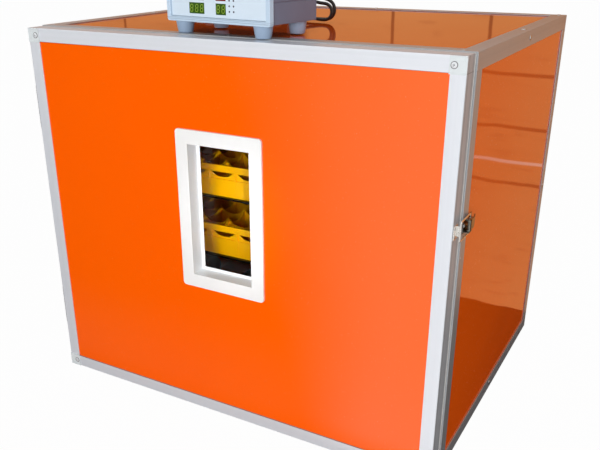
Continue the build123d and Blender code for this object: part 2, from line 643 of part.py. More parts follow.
def carrier(pivot_z):
    """A welded tray carrier with its two stub axles and, on the left, its drive arm."""
    z_low = pivot_z - TRAY_BELOW_PIVOT - LEDGE_T
    z_tray = z_low + LEDGE_T
    ring = block(-CARRIER_X, CARRIER_X, PIVOT_Y - CARRIER_Y, PIVOT_Y + CARRIER_Y, z_low, z_tray)
    hole_x, hole_y = CARRIER_X - LEDGE_W, CARRIER_Y - LEDGE_W
    ring -= block(-hole_x, hole_x, PIVOT_Y - hole_y, PIVOT_Y + hole_y, z_low, z_tray)
    for hand in (-1, 1):
        x_plate = sorted((hand * (CARRIER_X - PLATE_T), hand * CARRIER_X))
        plate_top = pivot_z + PLATE_ABOVE_PIVOT
        ring += block(*x_plate, PIVOT_Y - CARRIER_Y, PIVOT_Y + CARRIER_Y, z_low, plate_top)
        x_stop = sorted((hand * (CARRIER_X - STOP_LENGTH), hand * CARRIER_X))
        for end in (-1, 1):
            y_stop = sorted((PIVOT_Y + end * (CARRIER_Y - PLATE_T), PIVOT_Y + end * CARRIER_Y))
            ring += block(*x_stop, *y_stop, z_low, z_low + STOP_H)
        x_in, x_boss = hand * CARRIER_X, hand * (CARRIER_X + BOSS_LENGTH)
        ring += rod(BOSS_R, (x_in, PIVOT_Y, pivot_z), (x_boss, PIVOT_Y, pivot_z))
        x_end = hand * (INNER_X - PIN_END_GAP)
        ring += rod(PIVOT_R, (x_in, PIVOT_Y, pivot_z), (x_end, PIVOT_Y, pivot_z))
    return ring + drive_arm(pivot_z)


ARM_X = -(CARRIER_X + BOSS_LENGTH)  # inner face of the drive arms
LINK_X = ARM_X - ARM_T - LINK_GAP  # inner face of the link bar
ARM_END_Y = PIVOT_Y - ARM_LENGTH


def drive_arm(pivot_z):
    half = ARM_W / 2
    arm = block(ARM_X - ARM_T, ARM_X, ARM_END_Y, PIVOT_Y, pivot_z - half, pivot_z + half)
    for y in (PIVOT_Y, ARM_END_Y):
        arm += rod(half, (ARM_X, y, pivot_z), (ARM_X - ARM_T, y, pivot_z))
    pin_end = LINK_X - LINK_T - LINK_PIN_OVER
    return arm + rod(LINK_PIN_R, (ARM_X, ARM_END_Y, pivot_z), (pin_end, ARM_END_Y, pivot_z))


def tray_drive():
    tray = egg_tray()
    for name, pivot_z in (("lower", LOWER_PIVOT_Z), ("upper", UPPER_PIVOT_Z)):
        save(f"{name}_tray_carrier", carrier(pivot_z))
        save(f"{name}_egg_tray", Pos(0, PIVOT_Y, pivot_z) * tray)
    bushes = []
    for hand in (-1, 1):
        for z in (LOWER_PIVOT_Z, UPPER_PIVOT_Z):
            wall, end = hand * INNER_X, hand * (INNER_X - BUSH_L)
            half = BUSH_FLANGE / 2
            x_flange = sorted((wall, hand * (INNER_X - BUSH_FLANGE_T)))
            bush = block(*x_flange, PIVOT_Y - half, PIVOT_Y + half, z - half, z + half)
            bush += rod(BUSH_R, (wall, PIVOT_Y, z), (end, PIVOT_Y, z))
            bushes.append(bush - rod(BUSH_BORE_R, (wall, PIVOT_Y, z), (end, PIVOT_Y, z)))
    save("pivot_bushes", *bushes)
    x0, x1 = LINK_X - LINK_T, LINK_X
    half = ARM_W / 2
    link = block(x0, x1, ARM_END_Y - half, ARM_END_Y + half, CRANK_Z, UPPER_PIVOT_Z)
    pins = (CRANK_Z, LOWER_PIVOT_Z, UPPER_PIVOT_Z)
    for z in (CRANK_Z, UPPER_PIVOT_Z):
        link += rod(half, (x0, ARM_END_Y, z), (x1, ARM_END_Y, z))
    for z in pins:
        link -= rod(LINK_BORE_R, (x0, ARM_END_Y, z), (x1, ARM_END_Y, z))
    save("link_bar", link)
    face = ARM_X + BRACKET_FROM_ARM  # outer face of the motor bracket
    motor_face = face + BRACKET_T
    shaft_end = motor_face + SHAFT_DEPTH
    crank = drive_arm(CRANK_Z) + rod(SHAFT_R, (ARM_X, PIVOT_Y, CRANK_Z), (shaft_end, PIVOT_Y, CRANK_Z))
    save("crank", crank)
    bracket_y = (PIVOT_Y - BRACKET_W / 2, PIVOT_Y + BRACKET_W / 2)
    plate = block(face, motor_face, *bracket_y, WALL, CRANK_Z + MOTOR_R)
    plate -= rod(SHAFT_R + BRACKET_T, (face, PIVOT_Y, CRANK_Z), (motor_face, PIVOT_Y, CRANK_Z))
    save("motor_bracket", plate + block(face, face + BRACKET_FOOT, *bracket_y, WALL, WALL + BRACKET_T))
    motor_back = motor_face + MOTOR_L
    motor = rod(MOTOR_R, (motor_face, PIVOT_Y, CRANK_Z), (motor_back, PIVOT_Y, CRANK_Z))
    bore = rod(SHAFT_BORE_R, (motor_face, PIVOT_Y, CRANK_Z), (shaft_end + FIT_GAP, PIVOT_Y, CRANK_Z))
    save("turning_motor", motor - bore)


# ---- fan, heater, water pan, probe and vent ----
FAN_Z = INNER_TOP - FAN_BELOW_CEILING
FAN_BACK = INNER_BACK - FAN_STANDOFF
FAN_FRONT = FAN_BACK - FAN_T


def fan():
    half = FAN_SIZE / 2
    frame = block(-half, half, FAN_FRONT, FAN_BACK, FAN_Z - half, FAN_Z + half)
    frame -= rod(FAN_BORE_R, (0, FAN_FRONT, FAN_Z), (0, FAN_BACK, FAN_Z))
    hub_front = FAN_BACK - FAN_HUB_T
    hub_nose = FAN_FRONT + FAN_NOSE_BACK
    thin, long = FAN_STRUT / 2, FAN_BORE_R + OVERCUT
    for x, z in ((thin, long), (long, thin)):
        frame += block(-x, x, FAN_BACK - FAN_STRUT, FAN_BACK, FAN_Z - z, FAN_Z + z)
    frame += rod(FAN_HUB_R, (0, hub_front, FAN_Z), (0, FAN_BACK, FAN_Z))
    frame += rod(FAN_SHAFT_R, (0, hub_nose + OVERCUT, FAN_Z), (0, FAN_BACK, FAN_Z))
    corner = half - FAN_POST_IN
    for x in (-corner, corner):
        for z in (FAN_Z - corner, FAN_Z + corner):
            frame += rod(FAN_POST_R, (x, FAN_BACK, z), (x, INNER_BACK, z))
    save("fan_frame", frame)
    hub_back = hub_front - ROTOR_GAP
    rotor = rod(FAN_HUB_R - 1, (0, hub_nose, FAN_Z), (0, hub_back, FAN_Z))
    mid_y = (hub_nose + hub_back) / 2
    blade_length = BLADE_TIP_R - FAN_HUB_R + BLADE_ROOT_IN
    blade = Pos(0, 0, BLADE_TIP_R - blade_length / 2) * Rot(0, 0, BLADE_PITCH)
    blade = blade * Box(BLADE_T, BLADE_CHORD, blade_length)
    for i in range(BLADES):
        rotor += Pos(0, mid_y, FAN_Z) * Rot(0, i * 360 / BLADES, 0) * blade
    save("fan_rotor", rotor - rod(FAN_SHAFT_BORE_R, (0, hub_nose, FAN_Z), (0, hub_back, FAN_Z)))
    face = FAN_FRONT - GUARD_T
    ends = ((0, face, FAN_Z), (0, FAN_FRONT, FAN_Z))
    guard = rod(GUARD_STEP, *ends)
    for ring in range(2, GUARD_RINGS + 1):
        guard += rod(ring * GUARD_STEP, *ends) - rod(ring * GUARD_STEP - GUARD_WIRE, *ends)
    reach = half - GUARD_BAR_IN
    bar = Box(2 * math.hypot(reach, reach), GUARD_T, GUARD_BAR)
    mid = Pos(0, (face + FAN_FRONT) / 2, FAN_Z)
    save("fan_guard", guard + mid * Rot(0, 45, 0) * bar + mid * Rot(0, -45, 0) * bar)


def heater():
    y = INNER_BACK - HEATER_OFF_WALL
    z0, z1 = HEATER_Z, HEATER_Z + HEATER_RISE
    x = HEATER_HALF_W
    points = [(-x, INNER_BACK, z0), (-x, y, z0), (x, y, z0), (x, y, z1), (-x, y, z1), (-x, INNER_BACK, z1)]
    route = FilletPolyline(*points, radius=HEATER_BEND_R)
    section = Plane(origin=route @ 0, z_dir=route % 0) * Circle(HEATER_R)
    save("heater_tube", sweep(section, path=route))


def interior_fittings():
    x0 = ARM_X + BRACKET_FROM_ARM + BRACKET_FOOT + PAN_FROM_BRACKET
    y0 = PIVOT_Y - PAN_D / 2
    pan = block(x0, x0 + PAN_W, y0, y0 + PAN_D, WALL, WALL + PAN_H)
    inside = (x0 + PAN_T, x0 + PAN_W - PAN_T, y0 + PAN_T, y0 + PAN_D - PAN_T)
    save("water_pan", pan - block(*inside, WALL + PAN_T, WALL + PAN_H))
    y = INNER_BACK - PROBE_OFF_WALL
    low, high = PROBE_Z - PROBE_L / 2, PROBE_Z + PROBE_L / 2
    probe = rod(PROBE_R, (PROBE_X, y, low), (PROBE_X, y, high))
    half = CLIP_W / 2
    clip = block(PROBE_X - half, PROBE_X + half, y - half, INNER_BACK, PROBE_Z, PROBE_Z + CLIP_H)
    save("temperature_probe", probe, clip - rod(PROBE_R, (PROBE_X, y, low), (PROBE_X, y, high)))


def vent_holes(y0, y1):
    """The small round air holes about the vent's axis, between two planes."""
    holes = []
    for i in range(VENT_HOLES):
        angle = math.radians(45 + i * 360 / VENT_HOLES)
        x = VENT_X + VENT_HOLE_PITCH_R * math.cos(angle)
        z = VENT_Z + VENT_HOLE_PITCH_R * math.sin(angle)
        holes.append(rod(VENT_SMALL_R, (x, y0, z), (x, y1, z)))
    return holes


def vent():
    face = BACK + VENT_FLANGE_T
    body = rod(VENT_FLANGE_R, (VENT_X, SKIN_BACK, VENT_Z), (VENT_X, face, VENT_Z))
    body += rod(VENT_HOLE_R - FIT_GAP, (VENT_X, INNER_BACK, VENT_Z), (VENT_X, face, VENT_Z))
    body -= vent_holes(INNER_BACK, face)
    shaft_end = face + SHUTTER_T + FIT_GAP
    head_end = shaft_end + VENT_HEAD_T
    body += rod(VENT_HUB_R, (VENT_X, face, VENT_Z), (VENT_X, shaft_end, VENT_Z))
    body += rod(VENT_HUB_R + VENT_HEAD_OVER, (VENT_X, shaft_end, VENT_Z), (VENT_X, head_end, VENT_Z))
    save("vent_body", body)
    near, far = face + FIT_GAP / 2, face + FIT_GAP / 2 + SHUTTER_T
    shutter = rod(SHUTTER_R, (VENT_X, near, VENT_Z), (VENT_X, far, VENT_Z))
    shutter -= vent_holes(near, far)
    for x in (-SHUTTER_R + SHUTTER_PEG_IN, SHUTTER_R - SHUTTER_PEG_IN):
        shutter += rod(SHUTTER_PEG_R, (VENT_X + x, near, VENT_Z), (VENT_X + x, far + SHUTTER_PEG_H, VENT_Z))
    save("vent_shutter", shutter - rod(VENT_HUB_BORE_R, (VENT_X, near, VENT_Z), (VENT_X, far, VENT_Z)))


# ---- controller ----
CTL = Pos(CTL_X, FRONT + CTL_FROM_FRONT, TOP) * Rot(0, 0, -CTL_TURN)
CTL_LOW = FOOT_H
CTL_HIGH = FOOT_H + CTL_H
CTL_HALF = CTL_W / 2
CASE_X = CTL_HALF - CTL_CASE_IN
CASE_LOW = CTL_LOW + CTL_CASE_IN
CASE_HIGH = CTL_HIGH - CTL_CASE_IN
PANEL_FRONT = CTL_PANEL_BACK
PANEL_BACK = PANEL_FRONT + CTL_PANEL_T


def controller_shell():
    rear_in = CTL_D - REAR_PLATE_T
    case = block(-CASE_X, CASE_X, CTL_BEZEL_T, rear_in, CASE_LOW, CASE_HIGH)
    hollow = (CASE_LOW + CTL_WALL, CASE_HIGH - CTL_WALL)
    case -= block(-CASE_X + CTL_WALL, CASE_X - CTL_WALL, CTL_BEZEL_T, rear_in, *hollow)
    save("controller_case", CTL * case)
    edge = CTL_EDGE
    bezel = block(-CTL_HALF, CTL_HALF, 0, CTL_BEZEL_T, CTL_LOW, CTL_HIGH)
    bezel = fillet(bezel.edges().filter_by(Axis.Y), CTL_BEZEL_R)
    opening = (-CTL_HALF + edge, CTL_HALF - edge)
    bezel -= block(*opening, 0, CTL_BEZEL_T, CTL_LOW + edge, CTL_HIGH - edge)
    save("controller_bezel", CTL * bezel)
    feet = []
    x, y1 = CTL_HALF - FOOT_SIDE_IN, CTL_D - FOOT_REAR_IN
    for hand in (-1, 1):
        front = Pos(hand * x, FOOT_FRONT_IN, FOOT_H / 2) * Cone(FOOT_END_R, FOOT_TOP_R, FOOT_H)
        spigot = rod(FOOT_SPIGOT_R, (hand * x, FOOT_FRONT_IN, 0), (hand * x, FOOT_FRONT_IN, CASE_LOW))
        rear = Pos(hand * x, y1, CASE_LOW / 2) * Cone(FOOT_END_R, FOOT_TOP_R, CASE_LOW)
        feet += [front + spigot, rear]
    save("controller_feet", *[CTL * foot for foot in feet])
    plate = block(-CASE_X, CASE_X, rear_in, CTL_D, CASE_LOW, CASE_HIGH)
    half_w, half_h = SWITCH_W / 2 + SWITCH_PLAY, ROCKER_R + SWITCH_END_ROOM + SWITCH_PLAY
    hole_x = (SWITCH_X - half_w, SWITCH_X + half_w)
    plate -= block(*hole_x, rear_in, CTL_D, SWITCH_Z - half_h, SWITCH_Z + half_h)
    save("rear_plate", CTL * plate)


def controller_front():
    edge = CTL_EDGE + FIT_GAP
    panel_x = (-CTL_HALF + edge, CTL_HALF - edge)
    panel = block(*panel_x, PANEL_FRONT, PANEL_BACK, CTL_LOW + edge, CTL_HIGH - edge)
    displays, lamps = [], []
    for row in range(2):
        z0 = CTL_LOW + DIGITS_Z + row * DISPLAY_STEP
        for x, width in ((DISPLAY_WIDE_X, DISPLAY_WIDE), (DISPLAY_NARROW_X, DISPLAY_NARROW)):
            body = block(x - width / 2, x + width / 2, PANEL_FRONT, BOARD_BACK, z0, z0 + DISPLAY_H)
            displays.append(body)
            panel -= body
    for x in LAMP_X:
        for row in range(LAMP_ROWS):
            z = CTL_LOW + LAMP_Z0 + row * LAMP_STEP
            lamp = rod(LAMP_R, (x, PANEL_FRONT - LAMP_OUT, z), (x, BOARD_BACK, z))
            lamps.append(lamp)
            panel -= lamp
    z = CTL_LOW + KEY_Z
    key_back = PANEL_BACK + KEY_STEM
    board_x = CTL_HALF - BOARD_SIDE_IN
    board_z = (CTL_LOW + BOARD_END_IN, CTL_HIGH - BOARD_END_IN)
    board = block(-board_x, board_x, BOARD_BACK, BOARD_BACK + BOARD_T, *board_z)
    for number, x in enumerate(KEY_X, start=1):
        panel -= rod(KEY_R + KEY_GAP, (x, PANEL_FRONT, z), (x, PANEL_BACK, z))
        key = rod(KEY_R, (x, PANEL_FRONT - KEY_OUT, z), (x, PANEL_BACK, z))
        key += rod(KEY_R + KEY_FLANGE, (x, PANEL_BACK + FIT_GAP / 2, z), (x, PANEL_BACK + KEY_FLANGE, z))
        key += rod(KEY_STEM_R, (x, PANEL_BACK, z), (x, key_back, z))
        save(f"key_{number}", CTL * key)
        board += rod(CONTACT_R, (x, key_back + KEY_TRAVEL + FIT_GAP, z), (x, BOARD_BACK, z))
    save("controller_panel", CTL * panel)
    save("displays", *[CTL * body for body in displays])
    save("indicator_lamps", *[CTL * lamp for lamp in lamps])
    save("control_board", CTL * board)


def controller_rear():
    pivot_y = CTL_D - ROCKER_SINK
    wall, rim = SWITCH_WALL, SWITCH_RIM
    half_w, half_h = SWITCH_W / 2, ROCKER_R + SWITCH_END_ROOM
    back = pivot_y - ROCKER_R - 2 * wall
    z0, z1 = SWITCH_Z - half_h, SWITCH_Z + half_h
    housing = block(SWITCH_X - half_w, SWITCH_X + half_w, back, CTL_D, z0, z1)
    rim_x = (SWITCH_X - half_w - rim, SWITCH_X + half_w + rim)
    housing += block(*rim_x, CTL_D, CTL_D + rim, z0 - rim, z1 + rim)
    room = (SWITCH_X - half_w + wall, SWITCH_X + half_w - wall)
    housing -= block(*room, back + wall, CTL_D + rim, z0 + wall, z1 - wall)
    axis = ((SWITCH_X - half_w, pivot_y, SWITCH_Z), (SWITCH_X + half_w, pivot_y, SWITCH_Z))
    save("switch_housing", CTL * (housing - rod(ROCKER_BORE_R, *axis)))
    half = ROCKER_W / 2
    rocker = rod(ROCKER_R, (SWITCH_X - half, pivot_y, SWITCH_Z), (SWITCH_X + half, pivot_y, SWITCH_Z))
    face = Pos(SWITCH_X, CTL_D + ROCKER_OUT, SWITCH_Z) * Rot(-ROCKER_TILT, 0, 0)
    rocker -= face * Pos(0, ROCKER_R, 0) * Box(ROCKER_W, 2 * ROCKER_R, 4 * ROCKER_R)
    stub = half_w - SWITCH_PLAY
    rocker += rod(ROCKER_PIN_R, (SWITCH_X - stub, pivot_y, SWITCH_Z), (SWITCH_X + stub, pivot_y, SWITCH_Z))
    save("power_rocker", CTL * rocker)
    boots = []
    for x, z in ((MAINS_X, MAINS_Z), (HARNESS_X, HARNESS_Z)):
        cone = Cone(BOOT_R, CORD_R + BOOT_OVER_CORD, BOOT_L)
        boot = Pos(x, CTL_D + BOOT_L / 2, z) * Rot(-90, 0, 0) * cone
        boot += rod(BOOT_FLANGE_R, (x, CTL_D, z), (x, CTL_D + BOOT_FLANGE_T, z))
        boots.append(CTL * boot)
    save("cord_boots", *boots)


# ---- cords ----
def boot_end(x, z):
    """Where a cord leaves its boot, and the next point straight out of it."""
    at = CTL * Pos(x, CTL_D + BOOT_L, z)
    further = CTL * Pos(x, CTL_D + BOOT_L + CORD_STRAIGHT, z)
    return at.position, further.position


MAINS_POINTS = [
    (2.0, -51.0, 53.0),
    (6.0, -27.0, 46.0),
    (11.0, -8.5, 37.5),
    (18.5, -0.8, 31.6),
    (29.0, 0.4, 29.0),
    (35.6, 0.4, 23.8),
    (38.0, 0.4, 15.8),
    (35.4, 0.4, 7.8),
    (28.4, 0.6, 2.8),
    (15.0, 1.2, 2.6),
    (-10.0, 6.0, 2.6),
    (-36.0, 9.0, 2.6),
    (-62.0, 9.5, 2.6),
    (-86.0, 12.5, 2.6),
    (-107.0, 13.0, 2.6),
]
HARNESS_POINTS = [
    (-18.0, -48.0, 41.0),
    (-8.0, -27.0, 35.0),
    (7.0, -14.5, 28.5),
    (19.0, -10.0, 25.4),
    (30.4, -9.0, 24.6),
    (36.0, -9.0, 20.2),
    (38.0, -9.0, 13.6),
    (35.8, -9.0, 7.0),
    (30.0, -9.2, 2.9),
    (19.0, -9.6, 2.8),
    (4.0, -10.2, 5.4),
]


def cord(name, points, *more):
    """A round cord along straight runs with tangent arcs, each as large as its runs allow."""
    spots = [Vector(*point) for point in points]
    radii = []
    for before, at, after in zip(spots, spots[1:], spots[2:]):
        first, second = at - before, after - at
        turn = math.radians(first.get_angle(second))
        radii.append(0.45 * min(first.length, second.length) / math.tan(turn / 2))
    route = FilletPolyline(*spots, radius=radii)
    section = Plane(origin=route @ 0, z_dir=route % 0) * Circle(CORD_R)
    tube = sweep(section, path=route)
    whole = math.pi * CORD_R**2 * route.length
    print(name, "length", round(route.length, 1), "volume", round(tube.volume), "of", round(whole))
    print(name, "radii", [round(r, 1) for r in radii])
    save(name, tube, *more)


def cords():
    start, straight = boot_end(MAINS_X, MAINS_Z)
    lifted = [(x, y, TOP + z) for x, y, z in MAINS_POINTS]
    ring_y, z = COIL_Y - COIL_RING_R, TOP + COIL_HALF
    tail_x = COIL_X - math.sqrt((COIL_RING_R + COIL_HALF) ** 2 - COIL_RING_R**2)
    boot_x = tail_x - TAIL_L
    tail = rod(CORD_R, (tail_x, ring_y, z), (boot_x, ring_y, z))
    cord("mains_lead", [start, straight] + lifted, tail)
    save("mains_coil", Pos(COIL_X, COIL_Y, z) * Torus(COIL_RING_R, COIL_HALF))
    plug_x = boot_x - PLUG_BOOT_L
    half = PLUG_W / 2
    plug = block(plug_x - PLUG_L, plug_x, ring_y - half, ring_y + half, TOP, TOP + 2 * COIL_HALF)
    plug += rod(CORD_R + PLUG_SLEEVE, (plug_x, ring_y, z), (boot_x, ring_y, z))
    for side in (-1, 1):
        y = ring_y + side * PLUG_PIN_SPACE / 2
        plug += rod(PLUG_PIN_R, (plug_x - PLUG_L, y, z), (plug_x - PLUG_L - PLUG_PIN_L, y, z))
    save("mains_plug", plug)
    start, straight = boot_end(HARNESS_X, HARNESS_Z)
    lifted = [(x, y, TOP + z) for x, y, z in HARNESS_POINTS]
    mouth = (ELBOW_X, ELBOW_Y, TOP + ELBOW_Z)
    cord("harness_cable", [start, straight] + lifted + [mouth])
    half = ELBOW_W / 2
    elbow_y = (ELBOW_Y - half, ELBOW_Y + half)
    save("cable_elbow", block(ELBOW_X - ELBOW_L, ELBOW_X, *elbow_y, TOP, TOP + ELBOW_H))


cabinet_shell()
edge_angles()
cabinet_screws()
door_screws = door()
window()
hinges(door_screws)
latch(door_screws)
save("door_screws", *door_screws)
tray_drive()
fan()
heater()
interior_fittings()
vent()
controller_shell()
controller_front()
controller_rear()
cords()
print("trays", TRAY_COLUMNS, "by", TRAY_ROWS)
print("door hinge", (HINGE_X, HINGE_Y))
print("latch lever", (LATCH_PIVOT_X, LATCH_PIVOT_Y), "bail", (BAIL_X, BAIL_Y))
print("tilt", (PIVOT_Y, LOWER_PIVOT_Z, UPPER_PIVOT_Z), "link", (ARM_END_Y, CRANK_Z))
print("fan", (FAN_Z, FAN_FRONT, FAN_BACK), "rear wall", INNER_BACK)
for label, spot in (("key", (0, 0, CTL_LOW + KEY_Z)), ("rocker", (SWITCH_X, CTL_D - ROCKER_SINK, SWITCH_Z))):
    print(label, (CTL * Pos(*spot)).position)
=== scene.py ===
# %% [markdown]
# # A cabinet incubator for eggs
# The cabinet is a box of sandwich panels, faced in glossy orange laminate and held along every edge by
# aluminium angle. A door with a small window closes the front, a controller stands on top, and two
# tilting trays hang inside. The solid parts come from the engineering model as a fixed frame. This
# lesson rounds their edges, rebuilds the pieces that need more shape, and gives each a real finish.

# %% Load the frame
import json
import math

import bmesh
import bpy
from mathutils import Matrix, Vector

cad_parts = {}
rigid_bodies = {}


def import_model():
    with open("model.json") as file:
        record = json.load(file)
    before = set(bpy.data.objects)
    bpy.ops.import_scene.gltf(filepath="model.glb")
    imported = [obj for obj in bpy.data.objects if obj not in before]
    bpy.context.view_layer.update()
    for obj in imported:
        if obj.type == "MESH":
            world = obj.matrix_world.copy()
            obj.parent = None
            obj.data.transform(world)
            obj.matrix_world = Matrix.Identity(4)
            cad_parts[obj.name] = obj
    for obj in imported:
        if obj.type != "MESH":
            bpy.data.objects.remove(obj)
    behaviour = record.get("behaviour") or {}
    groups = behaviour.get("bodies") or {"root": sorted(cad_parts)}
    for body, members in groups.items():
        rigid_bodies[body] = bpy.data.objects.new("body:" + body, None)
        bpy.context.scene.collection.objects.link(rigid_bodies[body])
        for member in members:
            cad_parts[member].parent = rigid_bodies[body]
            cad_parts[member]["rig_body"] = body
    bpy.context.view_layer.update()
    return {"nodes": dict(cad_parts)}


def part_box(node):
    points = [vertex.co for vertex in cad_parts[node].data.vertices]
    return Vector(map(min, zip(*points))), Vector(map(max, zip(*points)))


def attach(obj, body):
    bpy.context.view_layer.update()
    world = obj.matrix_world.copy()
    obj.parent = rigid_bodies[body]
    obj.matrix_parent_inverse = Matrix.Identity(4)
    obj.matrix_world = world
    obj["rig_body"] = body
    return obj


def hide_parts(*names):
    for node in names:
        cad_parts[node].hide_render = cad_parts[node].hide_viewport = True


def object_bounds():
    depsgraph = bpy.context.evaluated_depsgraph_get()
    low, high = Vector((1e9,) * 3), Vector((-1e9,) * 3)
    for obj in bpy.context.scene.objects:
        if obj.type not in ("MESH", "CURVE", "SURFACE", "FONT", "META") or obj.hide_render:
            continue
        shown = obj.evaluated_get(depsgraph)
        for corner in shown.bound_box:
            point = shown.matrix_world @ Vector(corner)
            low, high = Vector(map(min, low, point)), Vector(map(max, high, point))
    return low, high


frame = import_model()
MM = 0.001


def mm(*values):
    """A vector given in millimetres."""
    return Vector([value * MM for value in values])


def add_object(name, data):
    """A new object in the scene."""
    thing = bpy.data.objects.new(name, data)
    bpy.context.scene.collection.objects.link(thing)
    return thing


# %% [markdown]
# ## A camera that stands where a person would
# The viewer stands a little over half a metre to the right and a metre in front, and looks down at the
# cabinet. A camera is easiest to place by three plain angles (turn, tilt and lean), because each can
# then be adjusted alone. The lens comes from the focal length in pixels over the frame's width.

# %% Camera
FOCAL_PX, FRAME_PX = 746.631, 600
EYE = Vector((0.525796, -1.006586, 0.638871))
TURN, TILT, LEAN = math.radians(-29.978), math.radians(-23.141), math.radians(-0.394)
ahead = Vector((math.sin(TURN) * math.cos(TILT), math.cos(TURN) * math.cos(TILT), math.sin(TILT)))
level = Vector((math.cos(TURN), -math.sin(TURN), 0))
upward = level.cross(ahead)
across = math.cos(LEAN) * level + math.sin(LEAN) * upward
above = math.cos(LEAN) * upward - math.sin(LEAN) * level

lens = bpy.data.cameras.new("camera")
lens.sensor_width = 36
lens.lens = FOCAL_PX / FRAME_PX * lens.sensor_width
lens.shift_x, lens.shift_y = 0.0333, 0.0617
camera = add_object("camera", lens)
camera.matrix_world = Matrix.Translation(EYE) @ Matrix((across, above, -ahead)).transposed().to_4x4()
bpy.context.scene.camera = camera
print("a", round(lens.lens, 1), "mm lens")

# %% [markdown]
# ## Shader maths that reads like maths
# A material is a graph of nodes, and long sums are hard to follow as nodes. `Wire` wraps one output
# socket and lets Python's operators add the Math nodes, so that `1 - mask * 0.3` builds two of them.
# `Nodes` adds any other node in one call: its settings first, then the values or wires of its inputs.


# %% Wires and nodes
def adds(operation, turned=False):
    """A method that adds one Math node to a wire, turned if the wire is its second value."""

    def method(self, other):
        return self.maths(operation, *((other, self) if turned else (self, other)))

    return method


class Wire:
    """One output socket, on which Python's operators add Math nodes."""

    __add__ = __radd__ = adds("ADD")
    __sub__, __rsub__ = adds("SUBTRACT"), adds("SUBTRACT", turned=True)
    __mul__ = __rmul__ = adds("MULTIPLY")
    __truediv__, __pow__ = adds("DIVIDE"), adds("POWER")
    most, least = adds("MAXIMUM"), adds("MINIMUM")

    def __init__(self, nodes, socket):
        self.nodes, self.socket = nodes, socket

    def maths(self, operation, *values):
        return self.nodes.node("ShaderNodeMath", {"operation": operation}, dict(enumerate(values)))

    def __abs__(self):
        return self.maths("ABSOLUTE", self)

    def rise(self, low, high):
        """0 below low, 1 above high, and a smooth slope between; the other way round if low is more."""
        settings = {"interpolation_type": "SMOOTHSTEP", "clamp": True}
        turned = low > high
        ends = {0: self, 1: min(low, high), 2: max(low, high), 3: float(turned), 4: float(not turned)}
        return self.nodes.node("ShaderNodeMapRange", settings, ends)

    def lines(self, places, outer, inner):
        """1 on a line at each place and 0 beyond it, with its edge between two distances."""
        nearest = abs(self - places[0])
        for place in places[1:]:
            nearest = nearest.least(abs(self - place))
        return nearest.rise(outer, inner)


class Nodes:
    """A node tree, with one method that adds any node to it."""

    def __init__(self, tree):
        self.tree = tree

    def node(self, kind, settings=None, sockets=None, out=0):
        made = self.tree.nodes.new(kind)
        for key, value in (settings or {}).items():
            setattr(made, key, value)
        for key, value in (sockets or {}).items():
            if isinstance(value, Wire):
                self.tree.links.new(value.socket, made.inputs[key])
            else:
                made.inputs[key].default_value = value
        if isinstance(out, tuple):
            return tuple(Wire(self, made.outputs[name]) for name in out)
        return Wire(self, made.outputs[out])


# %% [markdown]
# ## Finishes
# Every pattern is measured in metres on the object itself, so grain, scratches and moulding texture
# keep their real size however a piece is seen. The helper below gives a material its object
# coordinates, stretched noise, colour mixing and bump, and ends it in one Principled shader.


# %% A finish
class Finish(Nodes):
    """A material with its object coordinates, some pattern makers and one shader at the end."""

    def __init__(self, name, turned=None):
        self.material = bpy.data.materials.new(name)
        self.material.use_nodes = True
        super().__init__(self.material.node_tree)
        self.tree.nodes.clear()
        self.place = self.node("ShaderNodeTexCoord", out="Object")
        if turned:
            self.place = self.node("ShaderNodeMapping", {"vector_type": "TEXTURE"},
                                   {0: self.place, 1: turned[0], 2: turned[1]})
        self.x, self.y, self.z = self.node("ShaderNodeSeparateXYZ", None, {0: self.place},
                                           out=("X", "Y", "Z"))

    def noise(self, size, stretch=(1, 1, 1), detail=2.0, rough=0.5, shift=0.0):
        """Noise whose features are about size metres across, longer where stretch is more than 1."""
        scale = tuple(1 / (size * s) for s in stretch)
        spot = self.node("ShaderNodeMapping", None, {0: self.place, 1: (shift,) * 3, 3: scale})
        return self.node("ShaderNodeTexNoise", None,
                         {"Vector": spot, "Scale": 1.0, "Detail": detail, "Roughness": rough})

    def mix(self, factor, first, second):
        """A colour between two colours."""
        ends = {0: factor}
        for key, colour in ((6, first), (7, second)):
            ends[key] = colour if isinstance(colour, Wire) else (*colour, 1.0)
        return self.node("ShaderNodeMix", {"data_type": "RGBA"}, ends, out=2)

    def bump(self, height, distance):
        """A surface raised by height times a distance in metres."""
        return self.node("ShaderNodeBump", None, {"Strength": 1.0, "Distance": distance, "Height": height})

    def shader(self, colour, rough, normal=None, **more):
        """A Principled shader. Its other inputs are named in small letters, as in emission_color."""
        named = {key.replace("_", " ").title().replace("Ior", "IOR"): value for key, value in more.items()}
        colour = colour if isinstance(colour, Wire) else (*colour, 1.0)
        sockets = {"Base Color": colour, "Roughness": rough, **named}
        if normal:
            sockets["Normal"] = normal
        return self.node("ShaderNodeBsdfPrincipled", None, sockets)

    def end(self, shader):
        self.node("ShaderNodeOutputMaterial", None, {"Surface": shader}, out=())
        return self.material

    def surface(self, colour, rough, normal=None, **more):
        return self.end(self.shader(colour, rough, normal, **more))


# %% [markdown]
# ### Orange laminate
# The panels are faced in hard glossy laminate over a foam core. A thin sheet is never quite flat: it
# swells and dips by a fraction of a millimetre over a hand's width, and that is what bends the
# reflections on it. Fine orange peel and a few dull wiped patches sit on top of that.

